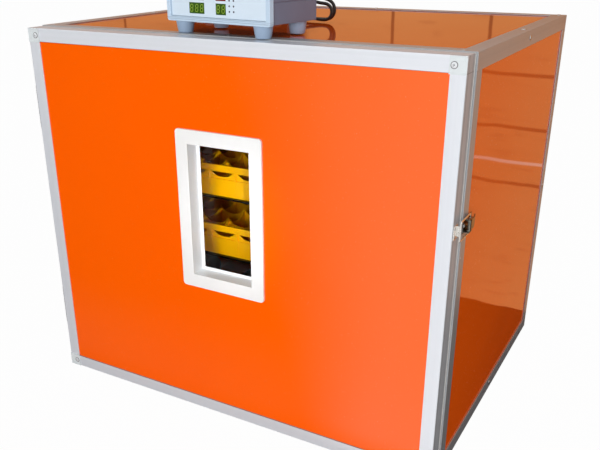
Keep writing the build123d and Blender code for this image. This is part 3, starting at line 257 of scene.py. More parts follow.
# %% Laminate
finish = Finish("orange_laminate")
cloud = finish.noise(0.30, detail=3.0)
swell = finish.noise(0.20, (1.0, 1.4, 0.8), detail=1.0, shift=6.4)
peel = finish.noise(0.0022, detail=2.0)
wiped = finish.noise(0.05, (2.6, 2.6, 0.8), detail=4.0, rough=0.6, shift=7.7).rise(0.60, 0.76)
dust = finish.noise(0.0012, detail=0.0, shift=1.3).rise(0.80, 0.86)
colour = finish.mix(cloud, (0.99, 0.106, 0.0), (1.0, 0.122, 0.0))
colour = finish.mix(dust * 0.5, colour, (0.95, 0.45, 0.25))
LAMINATE = finish.surface(
    colour,
    0.03 + peel * 0.04 + wiped * 0.08 + dust * 0.3,
    finish.bump(swell + peel * 0.0030, 0.0022),
    ior=1.55,
)
print("laminate has", len(finish.tree.nodes), "nodes")

# %% [markdown]
# ### Anodised aluminium
# Extruded bar carries fine lines along its length from the die, and anodising turns it pale and
# satin, as on the door's front faces. The cabinet's angles and the outer sides of the door's bars take
# a darker copy of that tone, which is painted shade, as they mostly face sideways. The lines are noise
# stretched 300 times along the bar, so each direction of bar needs its own material. The door's frame
# has bars of two directions in one piece, so a mask on height picks the lines. Thin dark lines mark
# the joints of its bars, and painted shade darkens the two grooves along their outer sides.

# %% Aluminium
STRETCH = 300.0
# A darker copy of the satin tones below: painted shade for bars that mostly face sideways.
SHADED_ALUMINIUM_DARK, SHADED_ALUMINIUM_PALE = (0.40, 0.415, 0.435), (0.55, 0.57, 0.595)
SATIN_DARK, SATIN_PALE = (0.70, 0.725, 0.77), (0.84, 0.865, 0.91)


def die_lines(finish, along):
    """Lines along one axis: (fine lines, broad bands)."""
    stretch = [1.0, 1.0, 1.0]
    stretch[along] = STRETCH
    return finish.noise(0.0009, stretch, detail=2.0), finish.noise(0.006, stretch, detail=1.0, shift=2.0)


def anodised(finish, fine, broad):
    stain = finish.noise(0.035, detail=4.0, rough=0.65, shift=5.0).rise(0.58, 0.80)
    nick = finish.noise(0.0035, (1.0, 1.0, 0.2), detail=0.0, shift=9.0).rise(0.80, 0.84)
    colour = finish.mix(broad * 0.7 + fine * 0.3, SHADED_ALUMINIUM_DARK, SHADED_ALUMINIUM_PALE)
    colour = finish.mix(stain * 0.22, colour, (0.50, 0.49, 0.46))
    rough = 0.34 + fine * 0.14 + stain * 0.12 - nick * 0.1
    normal = finish.bump(fine * 0.7 + broad * 0.3 - nick * 2.0, 0.00006)
    return finish.surface(colour, rough, normal, metallic=0.66)


BARS = {}
for along, direction in enumerate(("crosswise", "side", "upright")):
    finish = Finish(f"aluminium_{direction}")
    BARS[direction] = anodised(finish, *die_lines(finish, along))

door_low, door_high = (corner[2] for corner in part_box("door_frame_bars"))
BAR_W, JOINT_EDGE = 18 * MM, 0.1 * MM
SIDE_FROM, SIDE_TO = 0.3073, 0.3076
GROOVES = (0.0052, 0.0188)
finish = Finish("aluminium_door_frame")
flat_fine, flat_broad = die_lines(finish, 0)
tall_fine, tall_broad = die_lines(finish, 2)
joint_low, joint_high = door_low + BAR_W, door_high - BAR_W
tall = finish.z.rise(joint_low - JOINT_EDGE, joint_low + JOINT_EDGE)
tall = tall * finish.z.rise(joint_high + JOINT_EDGE, joint_high - JOINT_EDGE)
joint = finish.z.lines((joint_low, joint_high), 0.0006, 0.0001)
outer_side = abs(finish.x).rise(SIDE_FROM, SIDE_TO)
behind_front = finish.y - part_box("door_frame_bars")[0][1]
groove = behind_front.lines(GROOVES, 0.0011, 0.0004) * outer_side
fine = flat_fine * (1 - tall) + tall_fine * tall
broad = flat_broad * (1 - tall) + tall_broad * tall
satin = finish.mix(broad * 0.7 + fine * 0.3, SATIN_DARK, SATIN_PALE)
# The bars' outer sides take the darker copy, as painted shade.
shaded_side = finish.mix(broad * 0.7 + fine * 0.3, SHADED_ALUMINIUM_DARK, SHADED_ALUMINIUM_PALE)
colour = finish.mix(outer_side, satin, shaded_side)
# Dark joints, and painted shade in the two grooves along the bars' outer sides.
colour = finish.mix((joint * 0.8).most(groove * 0.55), colour, (0.16, 0.16, 0.16))
DOOR_BARS = finish.surface(
    colour,
    0.34 + fine * 0.14 + groove * 0.2,
    finish.bump(fine * 0.7 + broad * 0.3 - joint * 3.0 - groove * 6.0, 0.00006),
    metallic=0.30,
)
print("bars:", sorted(BARS), "and the door frame")

# %% [markdown]
# ### Moulded plastics, rubber and foam
# Injection-moulded plastic copies the fine spark texture of its mould, is slightly wavy, and wears
# duller in patches. One recipe makes nearly all of them; only colour, gloss and grain differ. The
# window's bezel has a recipe of its own, in which its deep reveal is painted whiter than its face:
# painted light in the reveal.

# %% Plastics
ABS_DARK, ABS_PALE = (0.80, 0.80, 0.785), (0.90, 0.90, 0.89)
# The reveal's tones are whiter than the face's: painted light in the reveal.
LIT_REVEAL_DARK, LIT_REVEAL_PALE = (0.93, 0.95, 0.97), (0.97, 0.985, 1.0)
REVEAL_FROM, REVEAL_TO = -0.2508, -0.2496


def mould_marks(finish, grain=0.0006):
    """What a mould leaves on plastic: (spark texture, slow waves)."""
    texture = finish.noise(grain, detail=2.0, rough=0.6)
    return texture, finish.noise(0.03, (1.0, 1.0, 2.0), detail=2.0, shift=4.0)


def moulded(name, dark, pale, rough, grain=0.0006, relief=0.00003, **more):
    finish = Finish(name)
    texture, flow = mould_marks(finish, grain)
    worn = finish.noise(0.008, detail=4.0, rough=0.7, shift=8.0).rise(0.62, 0.74)
    colour = finish.mix(flow * 0.7 + texture * 0.3, dark, pale)
    return finish.surface(
        colour,
        rough + texture * 0.12 + worn * 0.06,
        finish.bump(texture + flow * 2.0, relief),
        **more,
    )


def bezel_plastic():
    """White ABS whose deep reveal is painted whiter than its face, as painted light."""
    finish = Finish("bezel_abs")
    texture, flow = mould_marks(finish)
    tone = flow * 0.7 + texture * 0.3
    face, reveal = finish.mix(tone, ABS_DARK, ABS_PALE), finish.mix(tone, LIT_REVEAL_DARK, LIT_REVEAL_PALE)
    deep = finish.y.rise(REVEAL_FROM, REVEAL_TO)
    return finish.surface(finish.mix(deep, face, reveal), 0.26 + texture * 0.12,
                          finish.bump(texture + flow * 2.0, 0.00003))


WHITE_ABS = moulded("white_abs", ABS_DARK, ABS_PALE, 0.26)
BEZEL_ABS = bezel_plastic()
CAP_PLASTIC = moulded("cap_plastic", (0.62, 0.66, 0.67), (0.71, 0.75, 0.76), 0.30)
# Dark grey, for the collars round the cap screws: painted shade round each screw.
CAP_RING_SHADE = moulded("cap_ring_shade", (0.09, 0.09, 0.095), (0.16, 0.16, 0.165), 0.50)
TRAY_YELLOW = moulded("tray_yellow", (0.98, 0.415, 0.0), (1.0, 0.505, 0.003), 0.28, grain=0.0010,
                      subsurface_weight=0.12, subsurface_scale=0.004)
FOAM_SEAL = moulded("foam_seal", (0.91, 0.88, 0.81), (0.98, 0.96, 0.90), 0.75, grain=0.0009, relief=0.0003)
FOOT_PLASTIC = moulded("foot_plastic", (0.22, 0.30, 0.42), (0.32, 0.41, 0.54), 0.30)
BLACK_PLASTIC = moulded("black_plastic", (0.010, 0.010, 0.011), (0.026, 0.026, 0.028), 0.34)
FAN_PLASTIC = moulded("fan_plastic", (0.014, 0.014, 0.016), (0.032, 0.032, 0.036), 0.38)
MOTOR_PAINT = moulded("motor_paint", (0.16, 0.18, 0.20), (0.24, 0.26, 0.29), 0.40)
KEY_PLASTIC = moulded("key_plastic", (0.50, 0.55, 0.62), (0.62, 0.67, 0.74), 0.34)
VENT_PLASTIC = moulded("vent_plastic", (0.70, 0.70, 0.68), (0.82, 0.82, 0.80), 0.34)
print("plastics made")

# %% [markdown]
# ### Sheet and turned metals
# The crank, link bar and motor bracket are zinc-plated steel with a faint spangle, and the trays'
# carriers are steel painted near black, as painted shade inside the cabinet. The latch is
# nickel-plated: bright and slightly warm on its catch and bail, and painted darker on its base and
# lever, as painted shade and dark reflection. The heater's tube has turned straw and blue with heat
# where it runs hottest, and the water pan is brushed stainless steel. The cap screws are pale, with
# painted shade in their recesses.


# %% Metals
def plated(name, dark, pale, rough, spangle, tint=(0.5, 0.5, 0.5)):
    finish = Finish(name)
    cells = finish.node("ShaderNodeTexVoronoi", None,
                        {"Vector": finish.place, "Scale": 1 / spangle, "Randomness": 1.0}, out="Color")
    cell = finish.node("ShaderNodeSeparateColor", None, {0: cells}, out="Red")
    scuff = finish.noise(0.012, (1.0, 1.0, 3.0), detail=5.0, rough=0.7).rise(0.5, 0.75)
    brush = finish.noise(0.0006, (1.0, 30.0, 1.0), detail=1.0, shift=2.0)
    colour = finish.mix(cell * 0.6 + brush * 0.4, dark, pale)
    colour = finish.mix(scuff * 0.3, colour, tint)
    return finish.surface(colour, rough + cell * 0.10 + scuff * 0.14,
                          finish.bump(brush + cell * 0.5, 0.00003), metallic=1.0)


ZINC = plated("zinc_plate", (0.50, 0.51, 0.53), (0.68, 0.69, 0.71), 0.30, 0.006)
NICKEL = plated("nickel_plate", (0.84, 0.82, 0.78), (0.95, 0.93, 0.89), 0.20, 0.0015, (0.60, 0.57, 0.52))
# A darker copy of the nickel for the latch's base and lever: painted shade and dark reflection.
SHADED_NICKEL = plated("shaded_nickel", (0.16, 0.15, 0.13), (0.32, 0.30, 0.26), 0.16, 0.0015, (0.10, 0.09, 0.08))
# Near black, for the trays' carriers: painted shade inside the cabinet.
SHADED_STEEL = plated("shaded_steel", (0.035, 0.033, 0.032), (0.075, 0.070, 0.066), 0.42, 0.004,
                    (0.05, 0.045, 0.04))
STAINLESS = plated("stainless_steel", (0.52, 0.52, 0.52), (0.66, 0.66, 0.66), 0.24, 0.0012)
SCREW_STEEL = plated("screw_steel", (0.48, 0.48, 0.48), (0.72, 0.72, 0.72), 0.22, 0.0010, (0.3, 0.3, 0.3))

finish = Finish("cap_screw")
# The recess mark darkens the faces of the cross recess: painted shade.
recess = finish.node("ShaderNodeAttribute", {"attribute_name": "recess"}, out="Fac")
tone = finish.noise(0.0015, detail=3.0)
pale = finish.mix(tone, (0.70, 0.72, 0.74), (0.84, 0.86, 0.88))
colour = finish.mix(recess * 0.9, pale, (0.05, 0.05, 0.055))
CAP_SCREW = finish.surface(colour, 0.30 + tone * 0.1, finish.bump(tone, 0.00002), metallic=0.25)

finish = Finish("heater_steel")
warm = finish.noise(0.06, detail=3.0).rise(0.35, 0.65)
colour = finish.mix(warm, (0.36, 0.30, 0.22), (0.30, 0.32, 0.40))
HEATER_STEEL = finish.surface(colour, 0.32 + warm * 0.1, finish.bump(finish.noise(0.0008), 0.00003),
                              metallic=1.0)
print("metals made")

# %% [markdown]
# ### Clear window, display glass, lamps and boards
# The panes are thin and clear, so they are a see-through shader, with gloss laid over it that grows
# towards a glancing view. No light is bent, and light still reaches the trays. A display is a dark
# tinted window, on which only the lit segments glow.

# %% Clear and lit materials
finish = Finish("window_clear")
smear = finish.noise(0.02, (1.0, 1.0, 3.0), detail=5.0, rough=0.7).rise(0.45, 0.8)
grazing = finish.node("ShaderNodeLayerWeight", None, {"Blend": 0.5}, out="Facing")
rim = 0.010 + grazing ** 5
see = finish.node("ShaderNodeBsdfTransparent", None, {"Color": (0.985, 0.992, 0.988, 1.0)})
shine = finish.shader((0.8, 0.85, 0.85), 0.02 + smear * 0.05, metallic=1.0)
CLEAR = finish.end(finish.node("ShaderNodeMixShader", None, {0: rim + smear * 0.006, 1: see, 2: shine}))


def tinted(name, dark, pale):
    finish = Finish(name)
    cloud = finish.noise(0.01, detail=3.0)
    return finish.surface(finish.mix(cloud, dark, pale), 0.16 + cloud * 0.08,
                          finish.bump(finish.noise(0.0009), 0.00001))


def glowing(name, colour, strength):
    finish = Finish(name)
    even = finish.noise(0.003, detail=1.0) * 0.3 + 0.85
    lit = finish.mix(even, tuple(c * 0.55 for c in colour), colour)
    return finish.surface(tuple(c * 0.4 for c in colour), 0.4, emission_color=lit, emission_strength=strength)


GREEN_WINDOW = tinted("green_window", (0.020, 0.065, 0.0), (0.034, 0.092, 0.001))
RED_WINDOW = tinted("red_window", (0.15, 0.002, 0.002), (0.22, 0.006, 0.005))
GREEN_LIT = glowing("green_lit", (0.16, 0.25, 0.015), 1.0)
RED_LIT = glowing("red_lit", (1.0, 0.16, 0.10), 1.0)
LAMP_OFF = tinted("lamp_off", (0.045, 0.035, 0.050), (0.075, 0.055, 0.075))
BOARD_GREEN = tinted("board_green", (0.004, 0.06, 0.02), (0.010, 0.10, 0.035))
print("windows and lamps made")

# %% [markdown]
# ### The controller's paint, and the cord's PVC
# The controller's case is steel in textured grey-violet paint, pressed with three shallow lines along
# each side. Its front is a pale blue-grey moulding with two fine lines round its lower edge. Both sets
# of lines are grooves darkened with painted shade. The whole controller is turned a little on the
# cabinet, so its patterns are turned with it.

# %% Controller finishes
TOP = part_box("crosswise_angles")[1][2]
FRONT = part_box("door_frame_bars")[0][1]
CTL_PLACE = Vector((-11.6 * MM, FRONT + 24 * MM, TOP))
CTL_TURN = math.radians(-7.85)
CTL = Matrix.Translation(CTL_PLACE) @ Matrix.Rotation(CTL_TURN, 4, "Z")
TURNED = (tuple(CTL_PLACE), (0.0, 0.0, CTL_TURN))
CASE_LINES = (0.0405, 0.0545, 0.0825)
MOULDING_LINES = ((0.0172, 0.0004), (0.0192, 0.0003))


def pressed_lines(height, places, half=0.0007):
    return height.lines(places, half * 1.6, half * 0.5)


finish = Finish("case_paint", TURNED)
crinkle = finish.noise(0.0011, detail=3.0, rough=0.6)
cloud = finish.noise(0.04, detail=3.0, shift=3.0)
lines = pressed_lines(finish.z, CASE_LINES)
colour = finish.mix(cloud * 0.6 + crinkle * 0.4, (0.135, 0.150, 0.215), (0.190, 0.205, 0.280))
# Painted shade in the pressed lines, besides their bump.
colour = finish.mix(lines * 0.35, colour, (0.07, 0.06, 0.10))
CASE_PAINT = finish.surface(colour, 0.42 + crinkle * 0.16, finish.bump(crinkle - lines * 6.0, 0.00008))

finish = Finish("controller_moulding", TURNED)
grain = finish.noise(0.0007, detail=2.0)
lower_line, upper_line = (pressed_lines(finish.z, (place,), half) for place, half in MOULDING_LINES)
edge_lines = lower_line.most(upper_line)
colour = finish.mix(grain * 0.4 + finish.noise(0.03) * 0.6, (0.47, 0.59, 0.72), (0.57, 0.69, 0.82))
# Painted shade in the two lines, besides their bump.
colour = finish.mix(edge_lines * 0.5, colour, (0.26, 0.33, 0.42))
CONTROLLER_MOULDING = finish.surface(colour, 0.30 + grain * 0.08,
                                     finish.bump(grain - edge_lines * 8.0, 0.00003))

finish = Finish("panel_film", TURNED)
grain = finish.noise(0.0005, detail=1.0)
colour = finish.mix(finish.noise(0.05) * 0.6 + grain * 0.4, (0.60, 0.70, 0.80), (0.68, 0.78, 0.87))
PANEL_FILM = finish.surface(colour, 0.30 + grain * 0.10, finish.bump(grain, 0.00002))

finish = Finish("cord_pvc")
scuff = finish.noise(0.004, detail=4.0, rough=0.7)
CORD_PVC = finish.surface(
    finish.mix(scuff, (0.008, 0.008, 0.009), (0.024, 0.023, 0.023)),
    0.30 + scuff * 0.22,
    finish.bump(finish.noise(0.0008, detail=1.0), 0.00004),
)
print("controller's middle is at", tuple(round(v, 4) for v in CTL_PLACE))

# %% [markdown]
# ## Helpers for pieces
# A finished piece sits at the origin with its place in its mesh, takes a material, rides on a body and
# may stand for a node of the frame. Meshes are built with bmesh, which keeps the work in one place
# until the piece is done. The frame's shapes come as loose triangles, so they are welded first.

# %% Pieces
WELD, FINE_WELD = 0.01 * MM, 0.001 * MM
FLAT, EDGE, HEAD_CREASE = math.radians(0.6), math.radians(38), math.radians(35)
DISC_THIN, DISC_ROUND = 0.45, 0.1 * MM
FORWARD = (0, -1, 0)


def mesh_from(built, name):
    """A bmesh as plain mesh data."""
    made = bpy.data.meshes.new(name)
    built.to_mesh(made)
    built.free()
    return made


def piece(name, mesh, material, body, *nodes, smooth=True, crease=None):
    """Link a mesh as a finished piece that rides on a body and stands for nodes."""
    if isinstance(mesh, bmesh.types.BMesh):
        mesh = mesh_from(mesh, name)
    thing = add_object(name, mesh)
    if material:
        mesh.materials.clear()
        mesh.materials.append(material)
    for face in mesh.polygons:
        face.use_smooth = smooth
    if crease:
        mesh.set_sharp_from_angle(angle=math.radians(crease))
    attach(thing, body)
    if nodes:
        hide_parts(*nodes)
    return thing


# These nodes hold their own screws, as plain discs that a modelled head takes the place of.
SCREWED_DOWN = ("cabinet_hinge_leaves", "latch_base")


def welded(node):
    """A bmesh of a CAD node's shape, with its loose triangles joined."""
    mesh = bmesh.new()
    mesh.from_mesh(frame["nodes"][node].data)
    bmesh.ops.remove_doubles(mesh, verts=mesh.verts, dist=WELD)
    return mesh


def joined_copy(node):
    """A CAD node's shape with its flat faces made whole, and without its screws' discs."""
    mesh = welded(node)
    bmesh.ops.dissolve_limit(mesh, angle_limit=FLAT, verts=mesh.verts, edges=mesh.edges)
    if node in SCREWED_DOWN:
        discs = [vert for shell in islands(mesh) if is_disc(shell) for vert in shell]
        bmesh.ops.delete(mesh, geom=discs, context="VERTS")
    return mesh


def plain(thing):
    """Turn a piece's modifiers into a plain mesh."""
    graph = bpy.context.evaluated_depsgraph_get()
    mesh = bpy.data.meshes.new_from_object(thing.evaluated_get(graph))
    thing.modifiers.clear()
    thing.data = mesh
    return thing


def beveled(thing, width, segments=2):
    """Round the edges of a piece with a bevel, kept as plain mesh."""
    bevel = thing.modifiers.new("edges", "BEVEL")
    bevel.width, bevel.segments = width, segments
    bevel.limit_method, bevel.angle_limit = "ANGLE", EDGE
    bevel.use_clamp_overlap = True
    thing.modifiers.new("flat_faces", "WEIGHTED_NORMAL").mode = "FACE_AREA"
    return plain(thing)


def rounded(node, width, material, segments=2):
    """A piece that stands for a CAD node, with its edges rounded."""
    body = frame["nodes"][node]["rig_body"]
    return beveled(piece(f"{node}_rounded", joined_copy(node), material, body, node), width, segments)


def islands(mesh):
    """The separate shells of a bmesh, each as a list of vertices, always in the same order."""
    seen, found = set(), []
    for start in mesh.verts:
        if start in seen:
            continue
        seen.add(start)
        group, queue = [], [start]
        while queue:
            vert = queue.pop()
            group.append(vert)
            for edge in vert.link_edges:
                other = edge.other_vert(vert)
                if other not in seen:
                    seen.add(other)
                    queue.append(other)
        found.append(group)
    return found


def box_of(shell):
    """The lowest and the highest corner of a shell."""
    return tuple(Vector([end(vert.co[k] for vert in shell) for k in range(3)]) for end in (min, max))


def is_disc(shell):
    """Whether a shell is a plain screw head: thin, and as wide as it is long."""
    low, high = box_of(shell)
    thin, wide, long = sorted(high - low)
    return thin < DISC_THIN * wide and long - wide < DISC_ROUND


def add_box(mesh, low, high, turn=None):
    """A box between two corners, turned by a matrix if one is given. Returns its vertices."""
    made = bmesh.ops.create_cube(mesh, size=1.0)["verts"]
    low, high = Vector(low), Vector(high)
    for vert in made:
        vert.co = Vector(((high[k] + low[k]) / 2 + vert.co[k] * (high[k] - low[k]) for k in range(3)))
    if turn:
        bmesh.ops.transform(mesh, matrix=turn, verts=made)
    return made


def around(count, start=0.0):
    """(cosine, sine) of evenly spaced angles, the first of them a share of a space from 0."""
    angles = [2 * math.pi * (i + start) / count for i in range(count)]
    return [(math.cos(angle), math.sin(angle)) for angle in angles]


def add_turned(mesh, profile, place, steps, unit=MM):
    """A turned shape from (radius, height) pairs, about the Z axis of a place."""
    rings = []
    for radius, height in profile:
        radius, height = radius * unit, height * unit
        spots = [Vector((radius * u, radius * v, height)) for u, v in around(steps)]
        rings.append([mesh.verts.new(place @ spot) for spot in spots[:steps if radius else 1]])
    for lower, upper in zip(rings, rings[1:]):
        for i in range(steps):
            j = (i + 1) % steps
            corners = [ring[k % len(ring)] for ring, k in ((lower, i), (lower, j), (upper, j), (upper, i))]
            corners = list(dict.fromkeys(corners))
            if len(corners) > 2:
                mesh.faces.new(corners)


def join_loops(mesh, loops, capped=False):
    """Quads from each loop of points to the next, between a face at each end if capped."""
    if capped:
        mesh.faces.new(loops[0])
        mesh.faces.new(list(reversed(loops[-1])))
    for first, second in zip(loops, loops[1:]):
        for k in range(len(first)):
            j = (k + 1) % len(first)
            mesh.faces.new((first[k], second[k], second[j], first[j]))


def weld_and_face_out(mesh):
    """Weld points that coincide, and turn all faces outwards."""
    bmesh.ops.remove_doubles(mesh, verts=mesh.verts, dist=FINE_WELD)
    bmesh.ops.recalc_face_normals(mesh, faces=mesh.faces)


def facing(direction, spot=(0, 0, 0)):
    """A place at a spot, with its +Z turned to a direction."""
    return Matrix.Translation(spot) @ Vector(direction).to_track_quat("Z", "Y").to_matrix().to_4x4()


print("helpers ready")

# %% [markdown]
# ## Cords
# The mains lead and the sensor harness leave the controller's back through ribbed strain reliefs. The
# harness loops back into the cabinet's top, and the mains lead runs along the top to a neat coil with
# its plug. A cord is one NURBS curve, because a spline of that kind bends as a stiff round cord does:
# evenly, and a little inside the points it is led along. The turns of the coil are points on the same
# spline. They lie in three layers, and each step sideways or up has its own part of the turn, so no
# two turns cross.

# %% Cord routes
CORD_R = 2.3 * MM
CTL_D, BOOT_L, CORD_STRAIGHT = 95.0, 22.0, 28.0
MAINS_BOOT, HARNESS_BOOT = (-12.0, 58.0), (-34.0, 45.0)
MAINS_POINTS = [
    (2.0, -51.0, 53.0), (6.0, -27.0, 46.0), (11.0, -8.5, 37.5), (18.5, -0.8, 31.6), (29.0, 0.4, 29.0),
    (35.6, 0.4, 23.8), (38.0, 0.4, 15.8), (35.4, 0.4, 7.8), (28.4, 0.6, 2.8), (15.0, 1.2, 2.6),
    (-10.0, 6.0, 2.6), (-36.0, 9.0, 2.6), (-62.0, 9.5, 2.6), (-86.0, 12.5, 2.6), (-107.0, 13.0, 2.6),
]
HARNESS_POINTS = [
    (-18.0, -48.0, 41.0), (-8.0, -27.0, 35.0), (7.0, -14.5, 28.5), (19.0, -10.0, 25.4), (30.4, -9.0, 24.6),
    (36.0, -9.0, 20.2), (38.0, -9.0, 13.6), (35.8, -9.0, 7.0), (30.0, -9.2, 2.9), (19.0, -9.6, 2.8),
    (4.0, -10.2, 5.4), (-12.0, -10.5, 7.5),
]
COIL_MIDDLE = (-112.0, 46.0)
OUTER_TURN, TURN_STEP, LAYER_STEP, COIL_GAP = 30.6, 4.6, 4.65, 0.05
TURNS, POINTS_PER_TURN = 7, 20
STEPS_IN, STEPS_OUT, STEPS_UP = (0.8, 1.8, 6.0), (3.4, 4.4), (2.6, 5.2)
TAIL_POINTS = [(-123.0, 20.0, 11.65), (-133.0, 20.0, 11.4), (-142.0, 20.0, 8.4), (-152.32, 20.0, 7.0)]


def on_top(points):
    """Points in millimetres above the cabinet's top, in metres."""
    return [Vector((x * MM, y * MM, TOP + z * MM)) for x, y, z in points]


def out_of_boot(boot):
    """Where a cord leaves its strain relief, and the next point straight out of it."""
    x, z = boot
    return [CTL @ mm(x, CTL_D + BOOT_L + more, z) for more in (0.0, CORD_STRAIGHT)]


def steps_made(turns, starts):
    """How many steps are made by now. Each takes the fifth of a turn after its start, smoothly."""
    shares = [min(max((turns - start) * 5, 0.0), 1.0) for start in starts]
    return sum(share * share * (3 - 2 * share) for share in shares)


def coil_points():
    """The coil's turns, clockwise: in, up, out, up, and in again."""
    points = []
    for i in range(TURNS * POINTS_PER_TURN + 1):
        turns = i / POINTS_PER_TURN
        upward = steps_made(turns, STEPS_UP)
        radius = OUTER_TURN - TURN_STEP * (steps_made(turns, STEPS_IN) - steps_made(turns, STEPS_OUT))
        angle = -math.pi / 2 - 2 * math.pi * turns
        x = COIL_MIDDLE[0] + radius * math.cos(angle)
        y = COIL_MIDDLE[1] + radius * math.sin(angle)
        points.append((x, y, CORD_R / MM + COIL_GAP + LAYER_STEP * upward))
    return points


def laid_cord(name, points, body, *nodes):
    """A round cord on a NURBS spline with these control points."""
    curve = bpy.data.curves.new(name, "CURVE")
    curve.dimensions, curve.resolution_u = "3D", 6
    curve.bevel_depth, curve.bevel_resolution, curve.use_fill_caps = CORD_R, 5, True
    line = curve.splines.new("NURBS")
    line.points.add(len(points) - 1)
    for control, point in zip(line.points, points):
        control.co = (*point, 1.0)
    line.order_u = 3
    line.use_endpoint_u = True
    curve.materials.append(CORD_PVC)
    thing = add_object(name, curve)
    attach(thing, body)
    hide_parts(*nodes)
    return thing


def drawn_line(thing):
    """The points along a cord's own centreline."""
    bare = thing.data.copy()
    bare.bevel_depth = 0.0
    probe = add_object("line", bare)
    graph = bpy.context.evaluated_depsgraph_get()
    points = [vert.co.copy() for vert in bpy.data.meshes.new_from_object(probe.evaluated_get(graph)).vertices]
    bpy.data.objects.remove(probe)
    return points


def length_of(thing):
    points = drawn_line(thing)
    return sum((b - a).length for a, b in zip(points, points[1:]))


mains_start = out_of_boot(MAINS_BOOT)
mains_lead = laid_cord(
    "mains_lead_cord",
    mains_start + on_top(MAINS_POINTS + coil_points() + TAIL_POINTS),
    "cabinet", "mains_lead", "mains_coil",
)
harness_start = out_of_boot(HARNESS_BOOT)
harness = laid_cord("harness_cord", harness_start + on_top(HARNESS_POINTS), "cabinet", "harness_cable")
MAINS_LENGTH, HARNESS_LENGTH = length_of(mains_lead), length_of(harness)
print("mains lead", round(MAINS_LENGTH, 3), "m, harness", round(HARNESS_LENGTH, 3), "m")

# %% Strain reliefs and coil ties
BOOT_RIBS, RIBS_START, RIBS_L, RIB_R, RIB_TAPER = 6, 3.6, BOOT_L - 5.0, 5.5, 2.0


def strain_relief(mesh, x, z):
    """A flange, then a taper cut into ribs so that it bends with the cord."""
    profile = [(0.0, 0.0), (7.5, 0.0), (7.5, 1.9), (7.0, 2.5), (5.6, 2.5)]
    step = RIBS_L / BOOT_RIBS
    for rib in range(BOOT_RIBS):
        start = RIBS_START + rib * step
        radius = RIB_R - RIB_TAPER * (rib + 0.5) / BOOT_RIBS
        profile += [(radius - 0.9, start), (radius, start + 0.25), (radius, start + step - 1.05),
                    (radius - 0.9, start + step - 0.8)]
    profile += [(3.1, BOOT_L - 0.6), (2.9, BOOT_L), (0.0, BOOT_L)]
    place = CTL @ Matrix.Translation(mm(x, CTL_D, z)) @ Matrix.Rotation(-math.pi / 2, 4, "X")
    add_turned(mesh, profile, place, 28)


mesh = bmesh.new()
for boot in (MAINS_BOOT, HARNESS_BOOT):
    strain_relief(mesh, *boot)
piece("strain_reliefs", mesh, BLACK_PLASTIC, "cabinet", "cord_boots")

TIE_W, TIE_T, TIE_HALF, TIE_POINTS = 9.0, 0.5, 6.98, 24
TIE_ANGLES, TIE_FROM_MIDDLE, TIE_HEIGHT = (62, 205), 26.0, 7.0
# A tie is a circle cut off square, and the circle is this much wider than the square.
TIE_CIRCLE = 1.13 * 1.12
mesh = bmesh.new()
for angle in TIE_ANGLES:
    place = Matrix.Translation((COIL_MIDDLE[0] * MM, COIL_MIDDLE[1] * MM, TOP + TIE_HEIGHT * MM))
    place = place @ Matrix.Rotation(math.radians(angle), 4, "Z")
    place = place @ Matrix.Translation(mm(TIE_FROM_MIDDLE, 0, 0))
    rings = []
    for y in (-TIE_W / 2, TIE_W / 2):
        for half in (TIE_HALF, TIE_HALF - TIE_T):
            ring = []
            for ways in around(TIE_POINTS, 0.5):
                x, z = (max(-half, min(half, TIE_CIRCLE * half * way)) for way in ways)
                ring.append(mesh.verts.new(place @ mm(x, y, z)))
            rings.append(ring)
    join_loops(mesh, [rings[i] for i in (0, 1, 3, 2, 0)])
bmesh.ops.recalc_face_normals(mesh, faces=mesh.faces)
coil_ties = piece("coil_ties", mesh, BLACK_PLASTIC, "cabinet", smooth=False)

print("strain reliefs and ties made")

# %% [markdown]
# ## Carried-over parts with softened edges
# Nothing real has a perfectly sharp edge: sheet is sheared and bars are broken by a file, and the thin
# bright line on each edge is what makes metal look like metal. A bevel on the frame's own shapes gives
# that, so the sizes stay exactly as engineered. The rows below give its width in millimetres, the
# material and the nodes. The curved parts after them only need smooth shading.

# %% Rounded parts
WIDE = 0.8
ROUNDED = (
    (0.45, BARS["crosswise"], "crosswise_angles"),
    (0.45, BARS["side"], "side_angles"),
    (0.45, BARS["upright"], "upright_angles"),
    (0.45, DOOR_BARS, "door_frame_bars"),
    (0.3, LAMINATE, "door_panel", "right_panel", "left_panel", "top_panel", "rear_panel", "bottom_panel"),
    (0.9, FOAM_SEAL, "door_seal"),
    (1.1, BEZEL_ABS, "window_bezel"),
    (1.0, WHITE_ABS, "window_inner_frame"),
    (0.3, STAINLESS, "cabinet_hinge_leaves", "door_hinge_leaves"),
    (0.25, SHADED_NICKEL, "latch_base"),
    (0.25, NICKEL, "latch_catch"),
    (0.5, SHADED_STEEL, "lower_tray_carrier", "upper_tray_carrier"),
    (0.8, WHITE_ABS, "pivot_bushes"),
    (0.4, ZINC, "link_bar", "crank", "motor_bracket"),
    (0.5, STAINLESS, "water_pan"),
    (0.8, FAN_PLASTIC, "fan_frame"),
    (0.4, ZINC, "fan_guard"),
    (0.8, CASE_PAINT, "controller_case"),
    (1.0, CONTROLLER_MOULDING, "controller_bezel"),
    (0.15, PANEL_FILM, "controller_panel"),
    (0.4, CASE_PAINT, "rear_plate"),
    (0.4, BLACK_PLASTIC, "switch_housing"),
    (0.2, BOARD_GREEN, "control_board"),
    (1.6, BLACK_PLASTIC, "cable_elbow"),
    (0.6, VENT_PLASTIC, "vent_body"),
    (0.5, VENT_PLASTIC, "vent_shutter"),
)
for width, material, *nodes in ROUNDED:
    for node in nodes:
        thing = rounded(node, width * MM, material, 3 if width >= WIDE else 2)
        print(node, "has", len(thing.data.polygons), "faces")

